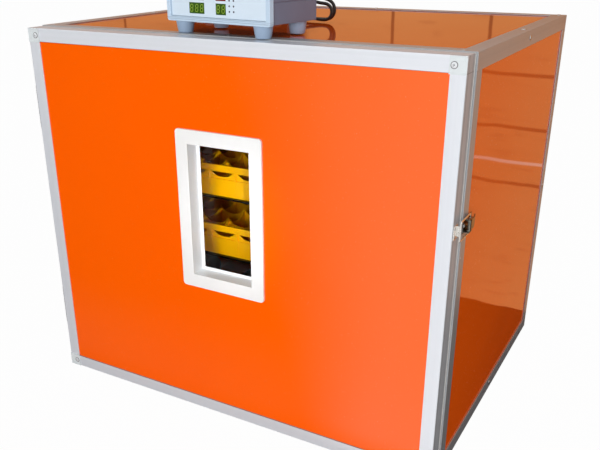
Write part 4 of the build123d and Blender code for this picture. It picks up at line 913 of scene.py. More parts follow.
# %% Curved parts
CURVED = {"latch_lever": SHADED_NICKEL, "latch_bail": NICKEL, "heater_tube": HEATER_STEEL}
for node, material in CURVED.items():
    piece(f"{node}_smooth", welded(node), material, frame["nodes"][node]["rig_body"], node, crease=35)
panes = frame["nodes"]["window_panes"].data.materials
panes.clear()
panes.append(CLEAR)
rounded("temperature_probe", 0.5 * MM, STAINLESS)
rounded("power_rocker", 0.3 * MM, BLACK_PLASTIC)
print("curved parts:", sorted(CURVED))

# %% [markdown]
# ## One node group for everything that repeats
# Screws and egg cells are one shape set down many times, which is work for Geometry Nodes. The group
# takes points with three attributes: the way each one faces, how far it is spun about that, and its
# size. It sets the shape on every point, joins what touches, and gives the result its material.

# %% Repeats
ATTRIBUTES = {"facing": "FLOAT_VECTOR", "spin": "FLOAT", "size": "FLOAT"}


def repeater():
    tree = bpy.data.node_groups.new("set_on_points", "GeometryNodeTree")
    for name, kind in (("Points", "Geometry"), ("Shape", "Object"), ("Join Distance", "Float"),
                       ("Material", "Material")):
        tree.interface.new_socket(name, in_out="INPUT", socket_type=f"NodeSocket{kind}")
    tree.interface.new_socket("Geometry", in_out="OUTPUT", socket_type="NodeSocketGeometry")
    graph = Nodes(tree)
    points, shape, distance, material = graph.node(
        "NodeGroupInput", out=("Points", "Shape", "Join Distance", "Material")
    )
    facing_way, spin, size = (
        graph.node("GeometryNodeInputNamedAttribute", {"data_type": kind}, {"Name": name})
        for name, kind in ATTRIBUTES.items()
    )
    aligned = graph.node("FunctionNodeAlignRotationToVector", {"axis": "Z"}, {"Vector": facing_way})
    about_axis = graph.node("FunctionNodeAxisAngleToRotation", None, {"Axis": (0, 0, 1), "Angle": spin})
    turned = graph.node("FunctionNodeRotateRotation", {"rotation_space": "LOCAL"},
                        {"Rotation": aligned, "Rotate By": about_axis})
    model = graph.node("GeometryNodeObjectInfo", None, {"Object": shape}, out="Geometry")
    placed = graph.node("GeometryNodeInstanceOnPoints", None,
                        {"Points": points, "Instance": model, "Rotation": turned, "Scale": size})
    real = graph.node("GeometryNodeRealizeInstances", None, {"Geometry": placed})
    merged = graph.node("GeometryNodeMergeByDistance", None, {"Geometry": real, "Distance": distance})
    painted = graph.node("GeometryNodeSetMaterial", None, {"Geometry": merged, "Material": material})
    graph.node("NodeGroupOutput", None, {"Geometry": painted}, out=())
    return tree


REPEATER = repeater()


def repeated(spots, shape, material, join=0.0):
    """The mesh of a shape set on (place, facing, spin, size) spots."""
    points = bpy.data.meshes.new("points")
    points.from_pydata([spot[0] for spot in spots], [], [])
    for name, kind in ATTRIBUTES.items():
        points.attributes.new(name, kind, "POINT")
    # A new attribute can move the ones before it, so each is looked up again once all are there.
    facing_way, spin, size = (points.attributes[name].data for name in ATTRIBUTES)
    for i, (_, way, turn, scale) in enumerate(spots):
        facing_way[i].vector = way
        spin[i].value = turn
        size[i].value = scale
    carrier = add_object("points", points)
    nodes = carrier.modifiers.new("repeat", "NODES")
    nodes.node_group = REPEATER
    sockets = {item.name: item.identifier for item in REPEATER.interface.items_tree if item.in_out == "INPUT"}
    nodes[sockets["Shape"]] = shape
    nodes[sockets["Join Distance"]] = join
    nodes[sockets["Material"]] = material
    carrier.update_tag()
    graph = bpy.context.evaluated_depsgraph_get()
    mesh = bpy.data.meshes.new_from_object(carrier.evaluated_get(graph))
    bpy.data.objects.remove(carrier)
    return mesh


print("the group has", len(REPEATER.nodes), "nodes")

# %% [markdown]
# ## Screws
# Each screw is a pan head with a cross recess, cut by a Boolean. Its place, direction and radius are
# read from the plain discs of the frame, and each is spun differently, as a hand leaves them. The
# hinges' and the latch's screws are discs inside those nodes. A mark on the faces of the recess lets
# the pale screws of the corner caps have a dark cross, which is painted shade in the recess.

# %% Screws
HEAD_PROFILE = [(0.0, -0.02), (0.97, -0.02), (1.0, 0.03), (0.97, 0.13), (0.86, 0.22), (0.66, 0.29),
                (0.40, 0.33), (0.0, 0.345)]
SLOT_REACH, SLOT_HALF, SLOT_LOW, SLOT_HIGH, SLOT_TAPER = 0.52, 0.095, 0.13, 0.60, 0.72
RECESS_BELOW, RECESS_WITHIN = 0.28, 0.6


def cross_head():
    """A pan head of radius 1 that faces +Z, with a cross recess."""
    mesh = bmesh.new()
    add_turned(mesh, HEAD_PROFILE, Matrix.Identity(4), 32, unit=1.0)
    head = add_object("pan_head", mesh_from(mesh, "pan_head"))
    mesh = bmesh.new()
    for turn in (0, math.pi / 2):
        slot = add_box(mesh, (-SLOT_REACH, -SLOT_HALF, SLOT_LOW), (SLOT_REACH, SLOT_HALF, SLOT_HIGH),
                       Matrix.Rotation(turn, 4, "Z"))
        for vert in slot:
            if vert.co.z < SLOT_HIGH / 2:
                vert.co.xy *= SLOT_TAPER
    cutter = add_object("cross", mesh_from(mesh, "cross"))
    cut = head.modifiers.new("recess", "BOOLEAN")
    cut.object, cut.operation, cut.solver, cut.use_self = cutter, "DIFFERENCE", "EXACT", True
    plain(head)
    # The mark picks the faces of the cross recess, which the cap screws' material darkens as painted shade.
    recess = head.data.attributes.new("recess", "FLOAT", "FACE").data
    for face, mark in zip(head.data.polygons, recess):
        face.use_smooth = True
        mark.value = float(face.center.z < RECESS_BELOW and face.center.xy.length < RECESS_WITHIN)
    head.data.set_sharp_from_angle(angle=HEAD_CREASE)
    bpy.data.objects.remove(cutter)
    bpy.context.scene.collection.objects.unlink(head)
    return head


PAN_HEAD = cross_head()


def screw_spots(node):
    """Where each plain screw head of a node sits, which way it faces, its spin and its radius."""
    mesh = welded(node)
    spots = []
    for shell in filter(is_disc, islands(mesh)):
        low, high = box_of(shell)
        size = high - low
        axis = min(range(3), key=lambda k: size[k])
        middle = (low + high) / 2
        way = Vector((0, 0, 0))
        way[axis] = 1.0 if axis == 2 or middle[axis] > 0 else -1.0
        foot = middle - way * size[axis] / 2
        spots.append((foot, way, 0.7 + 2.3 * math.sin(37.0 * sum(middle)), max(size) / 2))
    mesh.free()
    return sorted(spots, key=lambda spot: tuple(round(v, 4) for v in spot[0]))


def screw_heads(name, spots, material, body, *nodes):
    thing = piece(name, repeated(spots, PAN_HEAD, material), None, body, *nodes)
    thing.data.set_sharp_from_angle(angle=HEAD_CREASE)
    print(name, len(spots))


door_spots = screw_spots("door_screws")
cap_spots = [spot for spot in door_spots if spot[1].y < 0]
screw_heads("cabinet_screws_heads", screw_spots("cabinet_screws"), SCREW_STEEL, "cabinet", "cabinet_screws")
side_spots = [spot for spot in door_spots if spot not in cap_spots]
screw_heads("door_screws_heads", side_spots, SCREW_STEEL, "door", "door_screws")
screw_heads("cap_screws_heads", cap_spots, CAP_SCREW, "door")
for node in SCREWED_DOWN:
    screw_heads(f"{node}_heads", screw_spots(node), SCREW_STEEL, "cabinet")

# %% [markdown]
# ## Door corner caps
# A moulded cap closes each corner of the door's frame. It has a raised collar round its screw, a
# ridge along its upper and lower edges, and a shallow pad beyond the screw. The collar is dark grey,
# which is painted shade round the screw.

# %% Corner caps
COLLAR = [(3.1, -0.1), (3.9, -0.1), (3.9, 0.35), (3.75, 0.5), (3.3, 0.5), (3.1, 0.35), (3.1, -0.1)]
COLLAR_IN, SUNK = 4.0 * MM, 0.2 * MM
RIDGE_IN, RIDGE_HALF, RIDGE_SHORTER, RIDGE_RISE = 1.5 * MM, 0.5 * MM, 0.6 * MM, 0.35 * MM
PAD_START, PAD_END, PAD_HALF, PAD_RISE = 2.4 * MM, 1.6 * MM, 4.6 * MM, 0.3 * MM
source = welded("door_corner_caps")
cap_boxes = [box_of(shell) for shell in islands(source)]
source.free()
mesh, collars = bmesh.new(), bmesh.new()
for low, high in cap_boxes:
    middle = (low + high) / 2
    hand = 1.0 if middle.x > 0 else -1.0
    half = (high.x - low.x) / 2
    add_box(mesh, low, high)
    for z in (low.z + RIDGE_IN, high.z - RIDGE_IN):
        add_box(mesh, (low.x + RIDGE_SHORTER, low.y - RIDGE_RISE, z - RIDGE_HALF),
                (high.x - RIDGE_SHORTER, low.y + SUNK, z + RIDGE_HALF))
    x0, x1 = sorted((middle.x + hand * PAD_START, middle.x + hand * (half - PAD_END)))
    add_box(mesh, (x0, low.y - PAD_RISE, middle.z - PAD_HALF), (x1, low.y + SUNK, middle.z + PAD_HALF))
    add_turned(collars, COLLAR, facing(FORWARD, (middle.x - hand * COLLAR_IN, low.y, middle.z)), 32)
bmesh.ops.remove_doubles(collars, verts=collars.verts, dist=FINE_WELD)
piece("door_cap_collars", collars, CAP_RING_SHADE, "door", crease=40)
beveled(piece("door_corner_caps_moulded", mesh, CAP_PLASTIC, "door", "door_corner_caps"), 0.35 * MM, 3)
print(len(cap_boxes), "caps")

# %% [markdown]
# ## Egg trays
# Each tray is a grid of cells under one rim. A cell is a cup: thin walls that dip between the posts,
# so that air can cross from egg to egg, and a floor with a round lipped hole. The cell below is built
# as loops of points from the crown of its walls down to the hole and back out along its underside.
# Repeated side by side, the cells weld into one sheet, and a rim of rail, posts and lower wall goes
# round it.

# %% Egg trays
CELL_X, CELL_Y, COLUMNS, ROWS = 44.2, 44.8, 11, 8
TRAY_H, TRAY_RIM = 45.0, 2.0
POST_TOP, POST_FROM, DIP = 38.5, 0.96, 10.5
HOLE_R, SIDE_STEPS = 15.0, 8
RAIL_LOW, WALL_HIGH, POST_W = 35.5, 25.0, 3.2
RIB_LOW, RIB_HALF, SET_IN = 4.0, 1.2, 0.5


def egg_cell():
    """One cell about its own middle, open where its neighbours join on."""
    square = []
    for side in range(4):
        for step in range(SIDE_STEPS):
            along = -1 + 2 * step / SIDE_STEPS
            square.append(((1, along), (-along, 1), (-1, -along), (along, -1))[side] + (along,))
    mesh = bmesh.new()

    def crown(along, below=0.0):
        return POST_TOP - DIP * (1 - min(1.0, abs(along) / POST_FROM) ** 3) - below

    def square_loop(inward, height):
        reach_x, reach_y = CELL_X / 2 - inward, CELL_Y / 2 - inward
        return [mesh.verts.new(mm(x * reach_x, y * reach_y, height(along))) for x, y, along in square]

    def round_loop(radius, height):
        spokes = [Vector((x * CELL_X, y * CELL_Y)).normalized() * radius for x, y, _ in square]
        return [mesh.verts.new(mm(*spoke, height)) for spoke in spokes]

    loops = [
        square_loop(0.0, crown),
        square_loop(0.5, lambda along: crown(along, 0.05)),
        square_loop(0.85, lambda along: crown(along, 0.45)),
        square_loop(1.7, lambda along: 4.4),
        square_loop(2.9, lambda along: 3.0),
        round_loop(HOLE_R + 2.2, 3.0),
        round_loop(HOLE_R + 1.4, 4.2),
        round_loop(HOLE_R + 0.5, 4.2),
        round_loop(HOLE_R, 3.8),
        round_loop(HOLE_R, 0.0),
        square_loop(0.0, lambda along: 0.0),
    ]
    join_loops(mesh, loops)
    return bpy.data.objects.new("egg_cell", mesh_from(mesh, "egg_cell"))


EGG_CELL = egg_cell()


def egg_tray(node, body):
    """A tray's cells as one sheet, closed down to the underside at its edge, and its rim."""
    low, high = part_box(node)
    middle = ((low[0] + high[0]) / 2, (low[1] + high[1]) / 2, low[2])
    columns = [middle[0] + (column - (COLUMNS - 1) / 2) * CELL_X * MM for column in range(COLUMNS)]
    rows = [middle[1] + (row - (ROWS - 1) / 2) * CELL_Y * MM for row in range(ROWS)]
    spots = [((x, y, middle[2]), (0, 0, 1), 0.0, 1.0) for x in columns for y in rows]
    mesh = bmesh.new()
    mesh.from_mesh(repeated(spots, EGG_CELL, TRAY_YELLOW, join=0.05 * MM))
    rims = [edge for edge in mesh.edges if edge.is_boundary]
    underside = middle[2] + 0.1 * MM

    def column_of(vert):
        return round(vert.co.x, 5), round(vert.co.y, 5)

    under = {column_of(vert): vert for edge in rims for vert in edge.verts if vert.co.z < underside}
    for edge in rims:
        first, second = edge.verts
        if first.co.z > underside:
            mesh.faces.new((first, second, under[column_of(second)], under[column_of(first)]))
    bmesh.ops.recalc_face_normals(mesh, faces=mesh.faces)
    piece(f"{node}_cells", mesh, TRAY_YELLOW, body, node, crease=38)

    rim = bmesh.new()
    half_x, half_y = COLUMNS * CELL_X / 2 + TRAY_RIM, ROWS * CELL_Y / 2 + TRAY_RIM
    thick = TRAY_RIM + 0.6

    def bar(x0, x1, y0, y1, z0, z1):
        corners = ((x0, y0, z0), (x1, y1, z1))
        add_box(rim, *([middle[k] + corner[k] * MM for k in range(3)] for corner in corners))

    for hand in (-1, 1):
        for inset, z0, z1 in ((0.0, RAIL_LOW, TRAY_H), (SET_IN, 0.0, WALL_HIGH)):
            y0, y1 = sorted((hand * (half_y - inset), hand * (half_y - thick)))
            bar(-half_x + inset, half_x - inset, y0, y1, z0, z1)
        x0, x1 = sorted((hand * (half_x - SET_IN), hand * (half_x - thick)))
        bar(x0, x1, -half_y + thick, half_y - thick, 0.0, TRAY_H)
        y0, y1 = sorted((hand * (half_y - SET_IN), hand * (half_y - thick)))
        rib_y = sorted((hand * (half_y - SET_IN), hand * half_y))
        for column in range(COLUMNS + 1):
            x = min(max((column - COLUMNS / 2) * CELL_X, -half_x + POST_W / 2), half_x - POST_W / 2)
            bar(x - POST_W / 2, x + POST_W / 2, y0, y1, WALL_HIGH - 1, RAIL_LOW + 1)
            bar(x - RIB_HALF, x + RIB_HALF, *rib_y, RIB_LOW, WALL_HIGH + 0.5)
    beveled(piece(f"{node}_rim", rim, TRAY_YELLOW, body), 0.4 * MM)


egg_tray("lower_egg_tray", "lower_carrier")
egg_tray("upper_egg_tray", "upper_carrier")
print("two trays of", COLUMNS * ROWS, "cells")

# %% [markdown]
# ## Controller front
# The four displays are dark windows, with seven-segment digits just in front of them, each digit
# leaning a little. Everything here is built in the controller's own frame and turned with it.

# %% Displays, lamps, keys and feet
FOOT_H, CTL_W = 14.4, 166.0
PANEL_FRONT, WINDOW_BACK = 3.0, 12.0
DIGIT_FRONT, DIGIT_BACK = PANEL_FRONT - 0.12, PANEL_FRONT + 0.05
DIGITS_LOW, DISPLAY_H, DISPLAY_STEP = FOOT_H + 10.0, 13.0, 16.0
DISPLAYS = ((-33.8, 25.2, 3), (5.7, 16.3, 2))
LAMP_X, LAMP_LOW, LAMP_STEP, LAMP_ROWS = (19.5, 26.3), FOOT_H + 14.3, 6.3, 5
KEY_X, KEY_Z = (-51.0, -17.0, 17.0, 51.0), FOOT_H + 76.0
# Each segment's place in half widths and half heights of a digit, and whether it stands upright.
SEGMENTS = ((0, 1.0, False), (1, 0.5, True), (1, -0.5, True), (0, -1.0, False), (-1, -0.5, True),
            (-1, 0.5, True), (0, 0.0, False))
DIGIT_HALF_W, DIGIT_HALF_H, SEGMENT_W, SEGMENT_GAP, SLANT = 2.05, 4.1, 0.95, 0.25, 0.10
LAMP_DOME = [(0.0, -8.0), (1.1, -8.0), (1.1, 0.15), (0.95, 0.4), (0.55, 0.57), (0.0, 0.6)]
KEY_PROFILE = [(0.0, -6.4), (2.0, -6.4), (2.0, -3.7), (5.7, -3.7), (5.7, -2.7), (4.5, -2.7), (4.5, 0.9),
               (4.3, 1.3), (3.9, 1.45), (3.3, 1.32), (1.8, 1.1), (0.0, 1.02)]


def add_segment(mesh, digit_z, x, z, upright):
    """A six-cornered bar of a digit, leaning with it."""
    length = (DIGIT_HALF_H / 2 if upright else DIGIT_HALF_W) - SEGMENT_GAP
    half = SEGMENT_W / 2
    outline = [(-length, 0), (-length + half, half), (length - half, half), (length, 0),
               (length - half, -half), (-length + half, -half)]
    if upright:
        outline = [(-v, u) for u, v in outline]
    rings = []
    for y in (DIGIT_FRONT, DIGIT_BACK):
        spots = [mm(x + u + SLANT * (z + v - digit_z), y, z + v) for u, v in outline]
        rings.append([mesh.verts.new(CTL @ spot) for spot in spots])
    join_loops(mesh, rings, capped=True)


for row, (label, window, lit, *stands_for) in enumerate((
    ("green", GREEN_WINDOW, GREEN_LIT, "displays"),
    ("red", RED_WINDOW, RED_LIT),
)):
    z0 = DIGITS_LOW + row * DISPLAY_STEP
    digit_z = z0 + DISPLAY_H / 2
    windows, digits = bmesh.new(), bmesh.new()
    for middle_x, width, count in DISPLAYS:
        add_box(windows, mm(middle_x - width / 2, PANEL_FRONT, z0),
                mm(middle_x + width / 2, WINDOW_BACK, z0 + DISPLAY_H), CTL)
        for i in range(count):
            x = middle_x + (i - (count - 1) / 2) * width / count
            for u, v, upright in SEGMENTS:
                add_segment(digits, digit_z, x + u * DIGIT_HALF_W, digit_z + v * DIGIT_HALF_H, upright)
    bmesh.ops.recalc_face_normals(digits, faces=digits.faces)
    beveled(piece(f"{label}_displays", windows, window, "cabinet", *stands_for), 0.3 * MM)
    piece(f"{label}_digits", digits, lit, "cabinet", smooth=False)


def turned_out(x, z):
    """A place on the controller's front, facing out of it."""
    return CTL @ Matrix.Translation(mm(x, PANEL_FRONT, z)) @ facing(FORWARD)


lamps = bmesh.new()
for x in LAMP_X:
    for row in range(LAMP_ROWS):
        add_turned(lamps, LAMP_DOME, turned_out(x, LAMP_LOW + row * LAMP_STEP), 20)
piece("indicator_lamps_domed", lamps, LAMP_OFF, "cabinet", "indicator_lamps", crease=50)

for number, x in enumerate(KEY_X, start=1):
    mesh = bmesh.new()
    add_turned(mesh, KEY_PROFILE, turned_out(x, KEY_Z), 40)
    piece(f"key_{number}_cap", mesh, KEY_PLASTIC, f"key_{number}", f"key_{number}", crease=40)

CASE_LOW, FOOT_TOP_R, FOOT_END_R = FOOT_H + 1.5, 12.0, 9.5
FOOT_X, FOOT_FRONT_Y, FOOT_REAR_Y = CTL_W / 2 - 19.6, 12.4, CTL_D - 15.0
mesh = bmesh.new()
for x in (-FOOT_X, FOOT_X):
    for y, top in ((FOOT_FRONT_Y, FOOT_H), (FOOT_REAR_Y, CASE_LOW)):
        slope = (FOOT_TOP_R - FOOT_END_R) / top
        profile = [(0.0, 1.2), (4.0, 1.2), (4.4, 0.4), (5.0, 0.0), (FOOT_END_R - 1.2, 0.0),
                   (FOOT_END_R - 0.35, 0.3), (FOOT_END_R, 1.1), (FOOT_END_R + slope * 6, 6.0),
                   (FOOT_TOP_R - 0.3, top - 1.0), (FOOT_TOP_R - 0.5, top - 0.2), (FOOT_TOP_R - 0.9, top),
                   (0.0, top)]
        add_turned(mesh, profile, CTL @ Matrix.Translation(mm(x, y, 0)), 40)
piece("controller_feet_moulded", mesh, FOOT_PLASTIC, "cabinet", "controller_feet", crease=50)
print("controller dressed")

# %% [markdown]
# ## Plug
# The moulded plug has a waisted grip with ribs, and two round pins with rounded tips.

# %% Plug
plug_low, plug_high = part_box("mains_plug")
PIN_L, PIN_ASIDE, RING_POINTS = 19.0, 9.3, 40
RIBS, FIRST_RIB, RIB_STEP, HALF_RIB = 5, 12.0, 3.4, 0.6 * MM
face_x = plug_low[0] + PIN_L * MM
plug_y, plug_z = (plug_low[1] + plug_high[1]) / 2, (plug_low[2] + plug_high[2]) / 2
half_w, half_t = (plug_high[1] - plug_low[1]) / 2, (plug_high[2] - plug_low[2]) / 2
# How wide and how thick the plug is at places along it, in shares of its widest and thickest.
STATIONS = ((0.0, 0.96, 0.94), (1.5, 1.0, 1.0), (7.0, 1.0, 1.0), (14.0, 0.90, 0.86), (22.0, 0.78, 0.74),
            (29.0, 0.62, 0.62), (33.0, 0.46, 0.58), (34.5, 0.30, 0.55), (36.0, 0.30, 0.55),
            (36.6, 0.25, 0.46), (38.0, 0.25, 0.46), (38.6, 0.29, 0.53), (40.0, 0.29, 0.53),
            (40.6, 0.23, 0.43), (42.0, 0.22, 0.41))
# The grip's section is a rectangle with round corners, and the neck's is nearly round.
GRIP_L, GRIP_POWER, NECK_POWER = 30, 0.55, 0.95
PIN = [(0.0, -2.0), (2.0, -2.0), (2.0, 17.4), (1.7, 18.4), (1.0, 18.9), (0.0, 19.0)]
mesh = bmesh.new()
rings = []
for along, wide, tall in STATIONS:
    power = GRIP_POWER if along < GRIP_L else NECK_POWER
    ring = []
    for u, v in around(RING_POINTS):
        y = plug_y + half_w * wide * math.copysign(abs(u) ** power, u)
        z = plug_z + half_t * tall * math.copysign(abs(v) ** power, v)
        ring.append(mesh.verts.new((face_x + along * MM, y, z)))
    rings.append(ring)
join_loops(mesh, rings, capped=True)
bmesh.ops.recalc_face_normals(mesh, faces=mesh.faces)
for rib in range(RIBS):
    x = face_x + (FIRST_RIB + RIB_STEP * rib) * MM
    reach = half_t * (0.90 - 0.035 * rib)
    half = half_w * (0.66 - 0.05 * rib)
    for side in (-1, 1):
        z0, z1 = sorted((plug_z + side * (reach - 1.0 * MM), plug_z + side * (reach + 0.1 * MM)))
        add_box(mesh, (x - HALF_RIB, plug_y - half, z0), (x + HALF_RIB, plug_y + half, z1))
plug = piece("mains_plug_moulded", mesh, BLACK_PLASTIC, "cabinet", "mains_plug", crease=40)
mesh = bmesh.new()
for side in (-1, 1):
    add_turned(mesh, PIN, facing((-1, 0, 0), (face_x, plug_y + side * PIN_ASIDE * MM, plug_z)), 24)
plug_pins = piece("mains_plug_pins", mesh, NICKEL, "cabinet", crease=50)
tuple(mains_start[0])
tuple(harness_start[0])

# %% [markdown]
# ## Fan rotor, turning motor and heater fittings
# The rotor's blades are lofted: each section along a blade has its own chord and pitch, steep at the
# hub and flatter at the tip, because the tip moves faster. The gear motor is one turned shape with
# cooling rings, held by its gearbox end.

# %% Rotor, motor and fittings
FAN_Z, HUB_R, BLADE_ROOT, BLADE_TIP, BLADES = 435.0 * MM, 19.0, 18.0, 54.0, 7
SECTIONS, CHORD_STEPS, CAMBER, SWEEP = 7, 8, 1.6, 2.5
ROOT_CHORD, TIP_CHORD, ROOT_PITCH, TIP_PITCH = 17.0, 22.0, 44, 30
hub_y0, hub_y1 = (corner.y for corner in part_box("fan_rotor"))
deep = (hub_y1 - hub_y0) / MM
hub = [(2.06, 0.0), (HUB_R, 0.0), (HUB_R, deep - 1.6), (HUB_R - 0.6, deep - 0.5), (HUB_R - 1.6, deep),
       (12.0, deep), (11.6, deep - 0.4), (2.8, deep - 0.4), (2.06, deep - 0.8), (2.06, 0.0)]
mesh = bmesh.new()
add_turned(mesh, hub, facing(FORWARD, (0, hub_y1, FAN_Z)), 48)
for blade in range(BLADES):
    turn = Matrix.Rotation(2 * math.pi * blade / BLADES, 4, "Y")
    loops = []
    for section in range(SECTIONS + 1):
        share = section / SECTIONS
        radius = BLADE_ROOT + (BLADE_TIP - BLADE_ROOT) * share
        chord = ROOT_CHORD + (TIP_CHORD - ROOT_CHORD) * share
        pitch = math.radians(ROOT_PITCH + (TIP_PITCH - ROOT_PITCH) * share)
        loop = []
        for side in (1, -1):
            for step in range(CHORD_STEPS):
                along = (step / CHORD_STEPS if side > 0 else 1 - step / CHORD_STEPS) - 0.5
                camber = CAMBER * (0.25 - along * along) * 2
                thick = 0.75 * math.sqrt(max(0.0, 1 - (2 * along) ** 4)) + 0.12
                u, v = along * chord, camber + side * thick
                x = u * math.cos(pitch) - v * math.sin(pitch) + SWEEP * share
                y = u * math.sin(pitch) + v * math.cos(pitch)
                spot = turn @ mm(x, 0, radius)
                loop.append(mesh.verts.new((spot.x, (hub_y0 + hub_y1) / 2 + y * MM, FAN_Z + spot.z)))
        loops.append(loop)
    join_loops(mesh, loops)
    mesh.faces.new(list(reversed(loops[0])))
    mesh.faces.new(loops[-1])
weld_and_face_out(mesh)
piece("fan_rotor_bladed", mesh, FAN_PLASTIC, "fan_rotor", "fan_rotor", crease=40)

motor_low, motor_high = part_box("turning_motor")
place = facing((1, 0, 0), (motor_low.x, (motor_low.y + motor_high.y) / 2, (motor_low.z + motor_high.z) / 2))
MOTOR_RINGS, FIRST_RING, RING_STEP = 6, 18.0, 4.6
MOTOR_BORE = [(0.0, 12.4), (3.56, 12.4), (3.56, 0.0)]
profile = [(3.56, 0.0), (6.0, 0.0), (28.6, 0.0), (29.6, 0.6), (30.0, 1.6), (30.0, 15.0), (29.4, 15.8),
           (28.0, 16.2)]
for ring in range(MOTOR_RINGS):
    start = FIRST_RING + ring * RING_STEP
    profile += [(26.0, start), (27.6, start + 0.4), (27.6, start + 2.4), (26.0, start + 2.8)]
profile += [(26.0, 46.5), (28.4, 47.2), (28.4, 53.0), (27.2, 55.6), (24.0, 57.2), (9.0, 57.6), (8.4, 58.0),
            (0.0, 58.0)]
mesh = bmesh.new()
add_turned(mesh, profile, place, 56)
add_turned(mesh, MOTOR_BORE, place, 56)
weld_and_face_out(mesh)
piece("turning_motor_ribbed", mesh, MOTOR_PAINT, "cabinet", "turning_motor", crease=40)

NUT = [(4.1, 1.5), (7.4, 1.5), (8.0, 2.0), (8.0, 5.4), (7.4, 6.0), (4.1, 6.0), (4.1, 1.5)]
WASHER = [(4.1, 0.0), (9.6, 0.0), (9.6, 1.5), (4.1, 1.5), (4.1, 0.0)]
TUBE_R = 4.0 * MM
heater_low, heater_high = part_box("heater_tube")
mesh = bmesh.new()
for z in (heater_low.z + TUBE_R, heater_high.z - TUBE_R):
    place = facing(FORWARD, (heater_low.x + TUBE_R, heater_high.y, z))
    add_turned(mesh, NUT, place, 6)
    add_turned(mesh, WASHER, place, 40)
weld_and_face_out(mesh)
piece("heater_nuts", mesh, STAINLESS, "cabinet", crease=30)
print("rotor, motor and nuts made")

# %% [markdown]
# ## Backdrop, floor and soft light
# The cabinet stands in front of a white backdrop on a pale floor. Gloss shows what stands around a
# thing, so the floor has a second look that only reflections see: dark close beside the cabinet, and
# from dim to bright across the front. `rise` on a slope x / y makes a fan of light that way.

# %% Backdrop and floor
WHITE = (1.0, 1.0, 1.0)
FLOOR_REACH, FLOOR_Z = 9, -0.4 * MM
world = bpy.data.worlds.new("studio")
bpy.context.scene.world = world
world.use_nodes = True
sky = Nodes(world.node_tree)
world.node_tree.nodes.clear()


def ways_seen(nodes):
    """The camera, glossy and transmission rays that reach a surface."""
    return nodes.node("ShaderNodeLightPath", out=("Is Camera Ray", "Is Glossy Ray", "Is Transmission Ray"))


camera_ray, glossy_ray, clear_ray = ways_seen(sky)
ambient = sky.node("ShaderNodeBackground", None, {"Color": (0.96, 0.98, 1.0, 1.0), "Strength": 0.38})
white = sky.node("ShaderNodeBackground", None, {"Color": (*WHITE, 1.0), "Strength": 1.0})
seen = camera_ray.most(glossy_ray).most(clear_ray)
both = sky.node("ShaderNodeMixShader", None, {0: seen, 1: ambient, 2: white})
sky.node("ShaderNodeOutputWorld", None, {"Surface": both}, out=())

BACK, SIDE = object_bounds()[1][1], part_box("right_panel")[1][0]
finish = Finish("studio_floor")
camera_ray, glossy_ray, clear_ray = ways_seen(finish)
fan = ((finish.x - SIDE) / (finish.y * -1)).rise(-0.76, -0.30)
in_front = finish.y.rise(-0.24, -0.32)
close = finish.y.rise(-0.55, -0.30)
far_behind = finish.y.rise(BACK + 0.05, BACK + 0.25)
mirrored = in_front * (fan * 0.90 + close * 0.12) + far_behind * 0.6
mirrored = finish.mix(mirrored, (0.020, 0.010, 0.006), WHITE)
glow_colour = finish.mix(glossy_ray, WHITE, mirrored)
lit = finish.node("ShaderNodeBsdfDiffuse", None, {"Color": (0.62, 0.62, 0.62, 1.0)})
glow = finish.node("ShaderNodeEmission", None, {"Color": glow_colour, "Strength": 1.0})
share = (camera_ray.most(clear_ray) * 0.98).most(glossy_ray)
FLOOR = finish.end(finish.node("ShaderNodeMixShader", None, {0: share, 1: lit, 2: glow}))


def stage_sheet(name, corners, material):
    """A flat sheet of the set, between four corners."""
    mesh = bpy.data.meshes.new(name)
    mesh.from_pydata(corners, [], [(0, 1, 2, 3)])
    mesh.materials.append(material)
    sheet = add_object(name, mesh)
    return sheet


floor_corners = [(x * FLOOR_REACH, y * FLOOR_REACH, FLOOR_Z) for x, y in ((-1, -1), (1, -1), (1, 1), (-1, 1))]
stage_sheet("floor", floor_corners, FLOOR)
print("backdrop is white, and the floor has a look of its own for reflections")

# %% [markdown]
# ## Cartons that only the gloss can see
# Behind the cabinet stand plain shipping cartons. They are three sheets that only reflections see: two
# beside the cabinet and one above it. Their seams bend where the laminate swells, which is what makes
# a glossy sheet read as thin and hard. A near-black patch on them is painted shadow, which the laminate
# shows under the controller. Two soft lamps light the set, and a narrow beam the window.

# %% Cartons
SEAM_HEIGHTS = (0.242, 0.341, 0.432, 0.70)
SEAM_PLACES = (-0.62, -0.36, 0.004, 0.180, 0.72)
TAPE_HEIGHT = 0.281
finish = Finish("cartons")
paper = finish.noise(0.09, (3.0, 1.0, 1.0), detail=3.0)
flecks = finish.noise(0.012, (5.0, 1.0, 1.0), detail=2.0, shift=4.0).rise(0.60, 0.74)
seams = finish.z.lines(SEAM_HEIGHTS, 0.0045, 0.0015).most(finish.x.lines(SEAM_PLACES, 0.0045, 0.0015))
tape = finish.z.lines((TAPE_HEIGHT,), 0.0040, 0.0015)
colour = finish.mix(paper, (0.60, 0.24, 0.078), (0.74, 0.315, 0.11))
colour = finish.mix(flecks * 0.30, colour, (0.30, 0.12, 0.05))
colour = finish.mix(seams * 0.75, colour, (0.10, 0.04, 0.02))
colour = finish.mix(tape * 0.55, colour, (1.0, 0.85, 0.75))
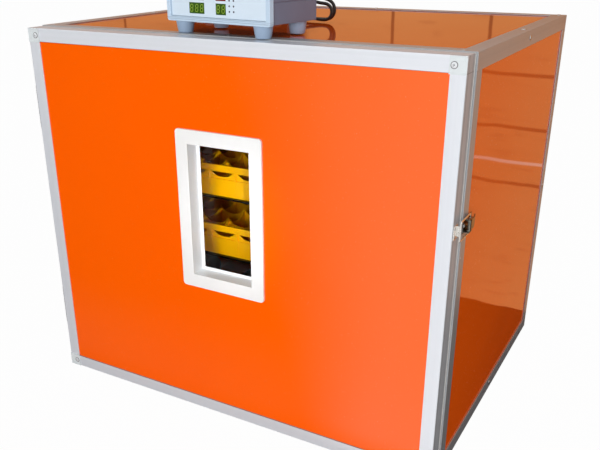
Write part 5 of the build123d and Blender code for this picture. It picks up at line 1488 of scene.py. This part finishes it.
# A near-black patch, seen in the laminate under the controller: painted shadow under it.
controller_shadow_patch = finish.x.rise(-0.48, -0.46) * finish.x.rise(-0.16, -0.19)
controller_shadow_patch = controller_shadow_patch * finish.z.rise(0.560, 0.568) * finish.z.rise(0.620, 0.612)
colour = finish.mix(controller_shadow_patch, colour, (0.012, 0.008, 0.006))
CARTONS = finish.end(finish.node("ShaderNodeEmission", None, {"Color": colour, "Strength": 1.0}))


def only_in_gloss(sheet):
    sheet.visible_camera = sheet.visible_diffuse = False
    sheet.visible_transmission = sheet.visible_shadow = False


CARTON_Y, CARTON_END, CARTON_TOP = BACK + 0.05, 1.3, 0.95
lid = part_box("top_panel")[1][2]
for name, left, right, low in (
    ("cartons_left", -CARTON_END, -SIDE, 0.0),
    ("cartons_right", SIDE, CARTON_END, 0.0),
    ("cartons_above", -SIDE, SIDE, lid),
):
    corners = [(left, CARTON_Y, low), (right, CARTON_Y, low),
               (right, CARTON_Y, CARTON_TOP), (left, CARTON_Y, CARTON_TOP)]
    only_in_gloss(stage_sheet(name, corners, CARTONS))


def lamp(name, kind, power, place, target):
    """A lamp aimed at a target, whose own shape no gloss shows."""
    light = bpy.data.lights.new(name, kind)
    light.energy = power
    thing = add_object(name, light)
    thing.location = place
    thing.rotation_euler = (Vector(target) - thing.location).to_track_quat("-Z", "Y").to_euler()
    thing.visible_glossy = False
    return thing


for name, power, place, target, size in (
    ("front_light", 38, (0.55, -2.45, 0.70), (0.0, -0.25, 0.3), (0.9, 0.8)),
    ("right_light", 14, (3.0, 0.4, 1.9), (0, 0, 0.3), (1.6, 1.6)),
):
    softbox = lamp(name, "AREA", power, place, target).data
    softbox.shape, softbox.size, softbox.size_y = "RECTANGLE", *size
pane_low, pane_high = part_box("window_panes")
pane = pane_high - pane_low
beam = lamp("window_light", "SPOT", 178, (1.40, -2.05, 0.34), (pane_low + pane_high) / 2)
beam.data.spot_size, beam.data.spot_blend, beam.data.shadow_soft_size = math.radians(4.2), 0.25, 0.05
beam.scale = (0.8 * pane.x / pane.z, 1.0, 1.0)
bpy.context.scene.view_settings.view_transform = "Standard"
print("studio ready")
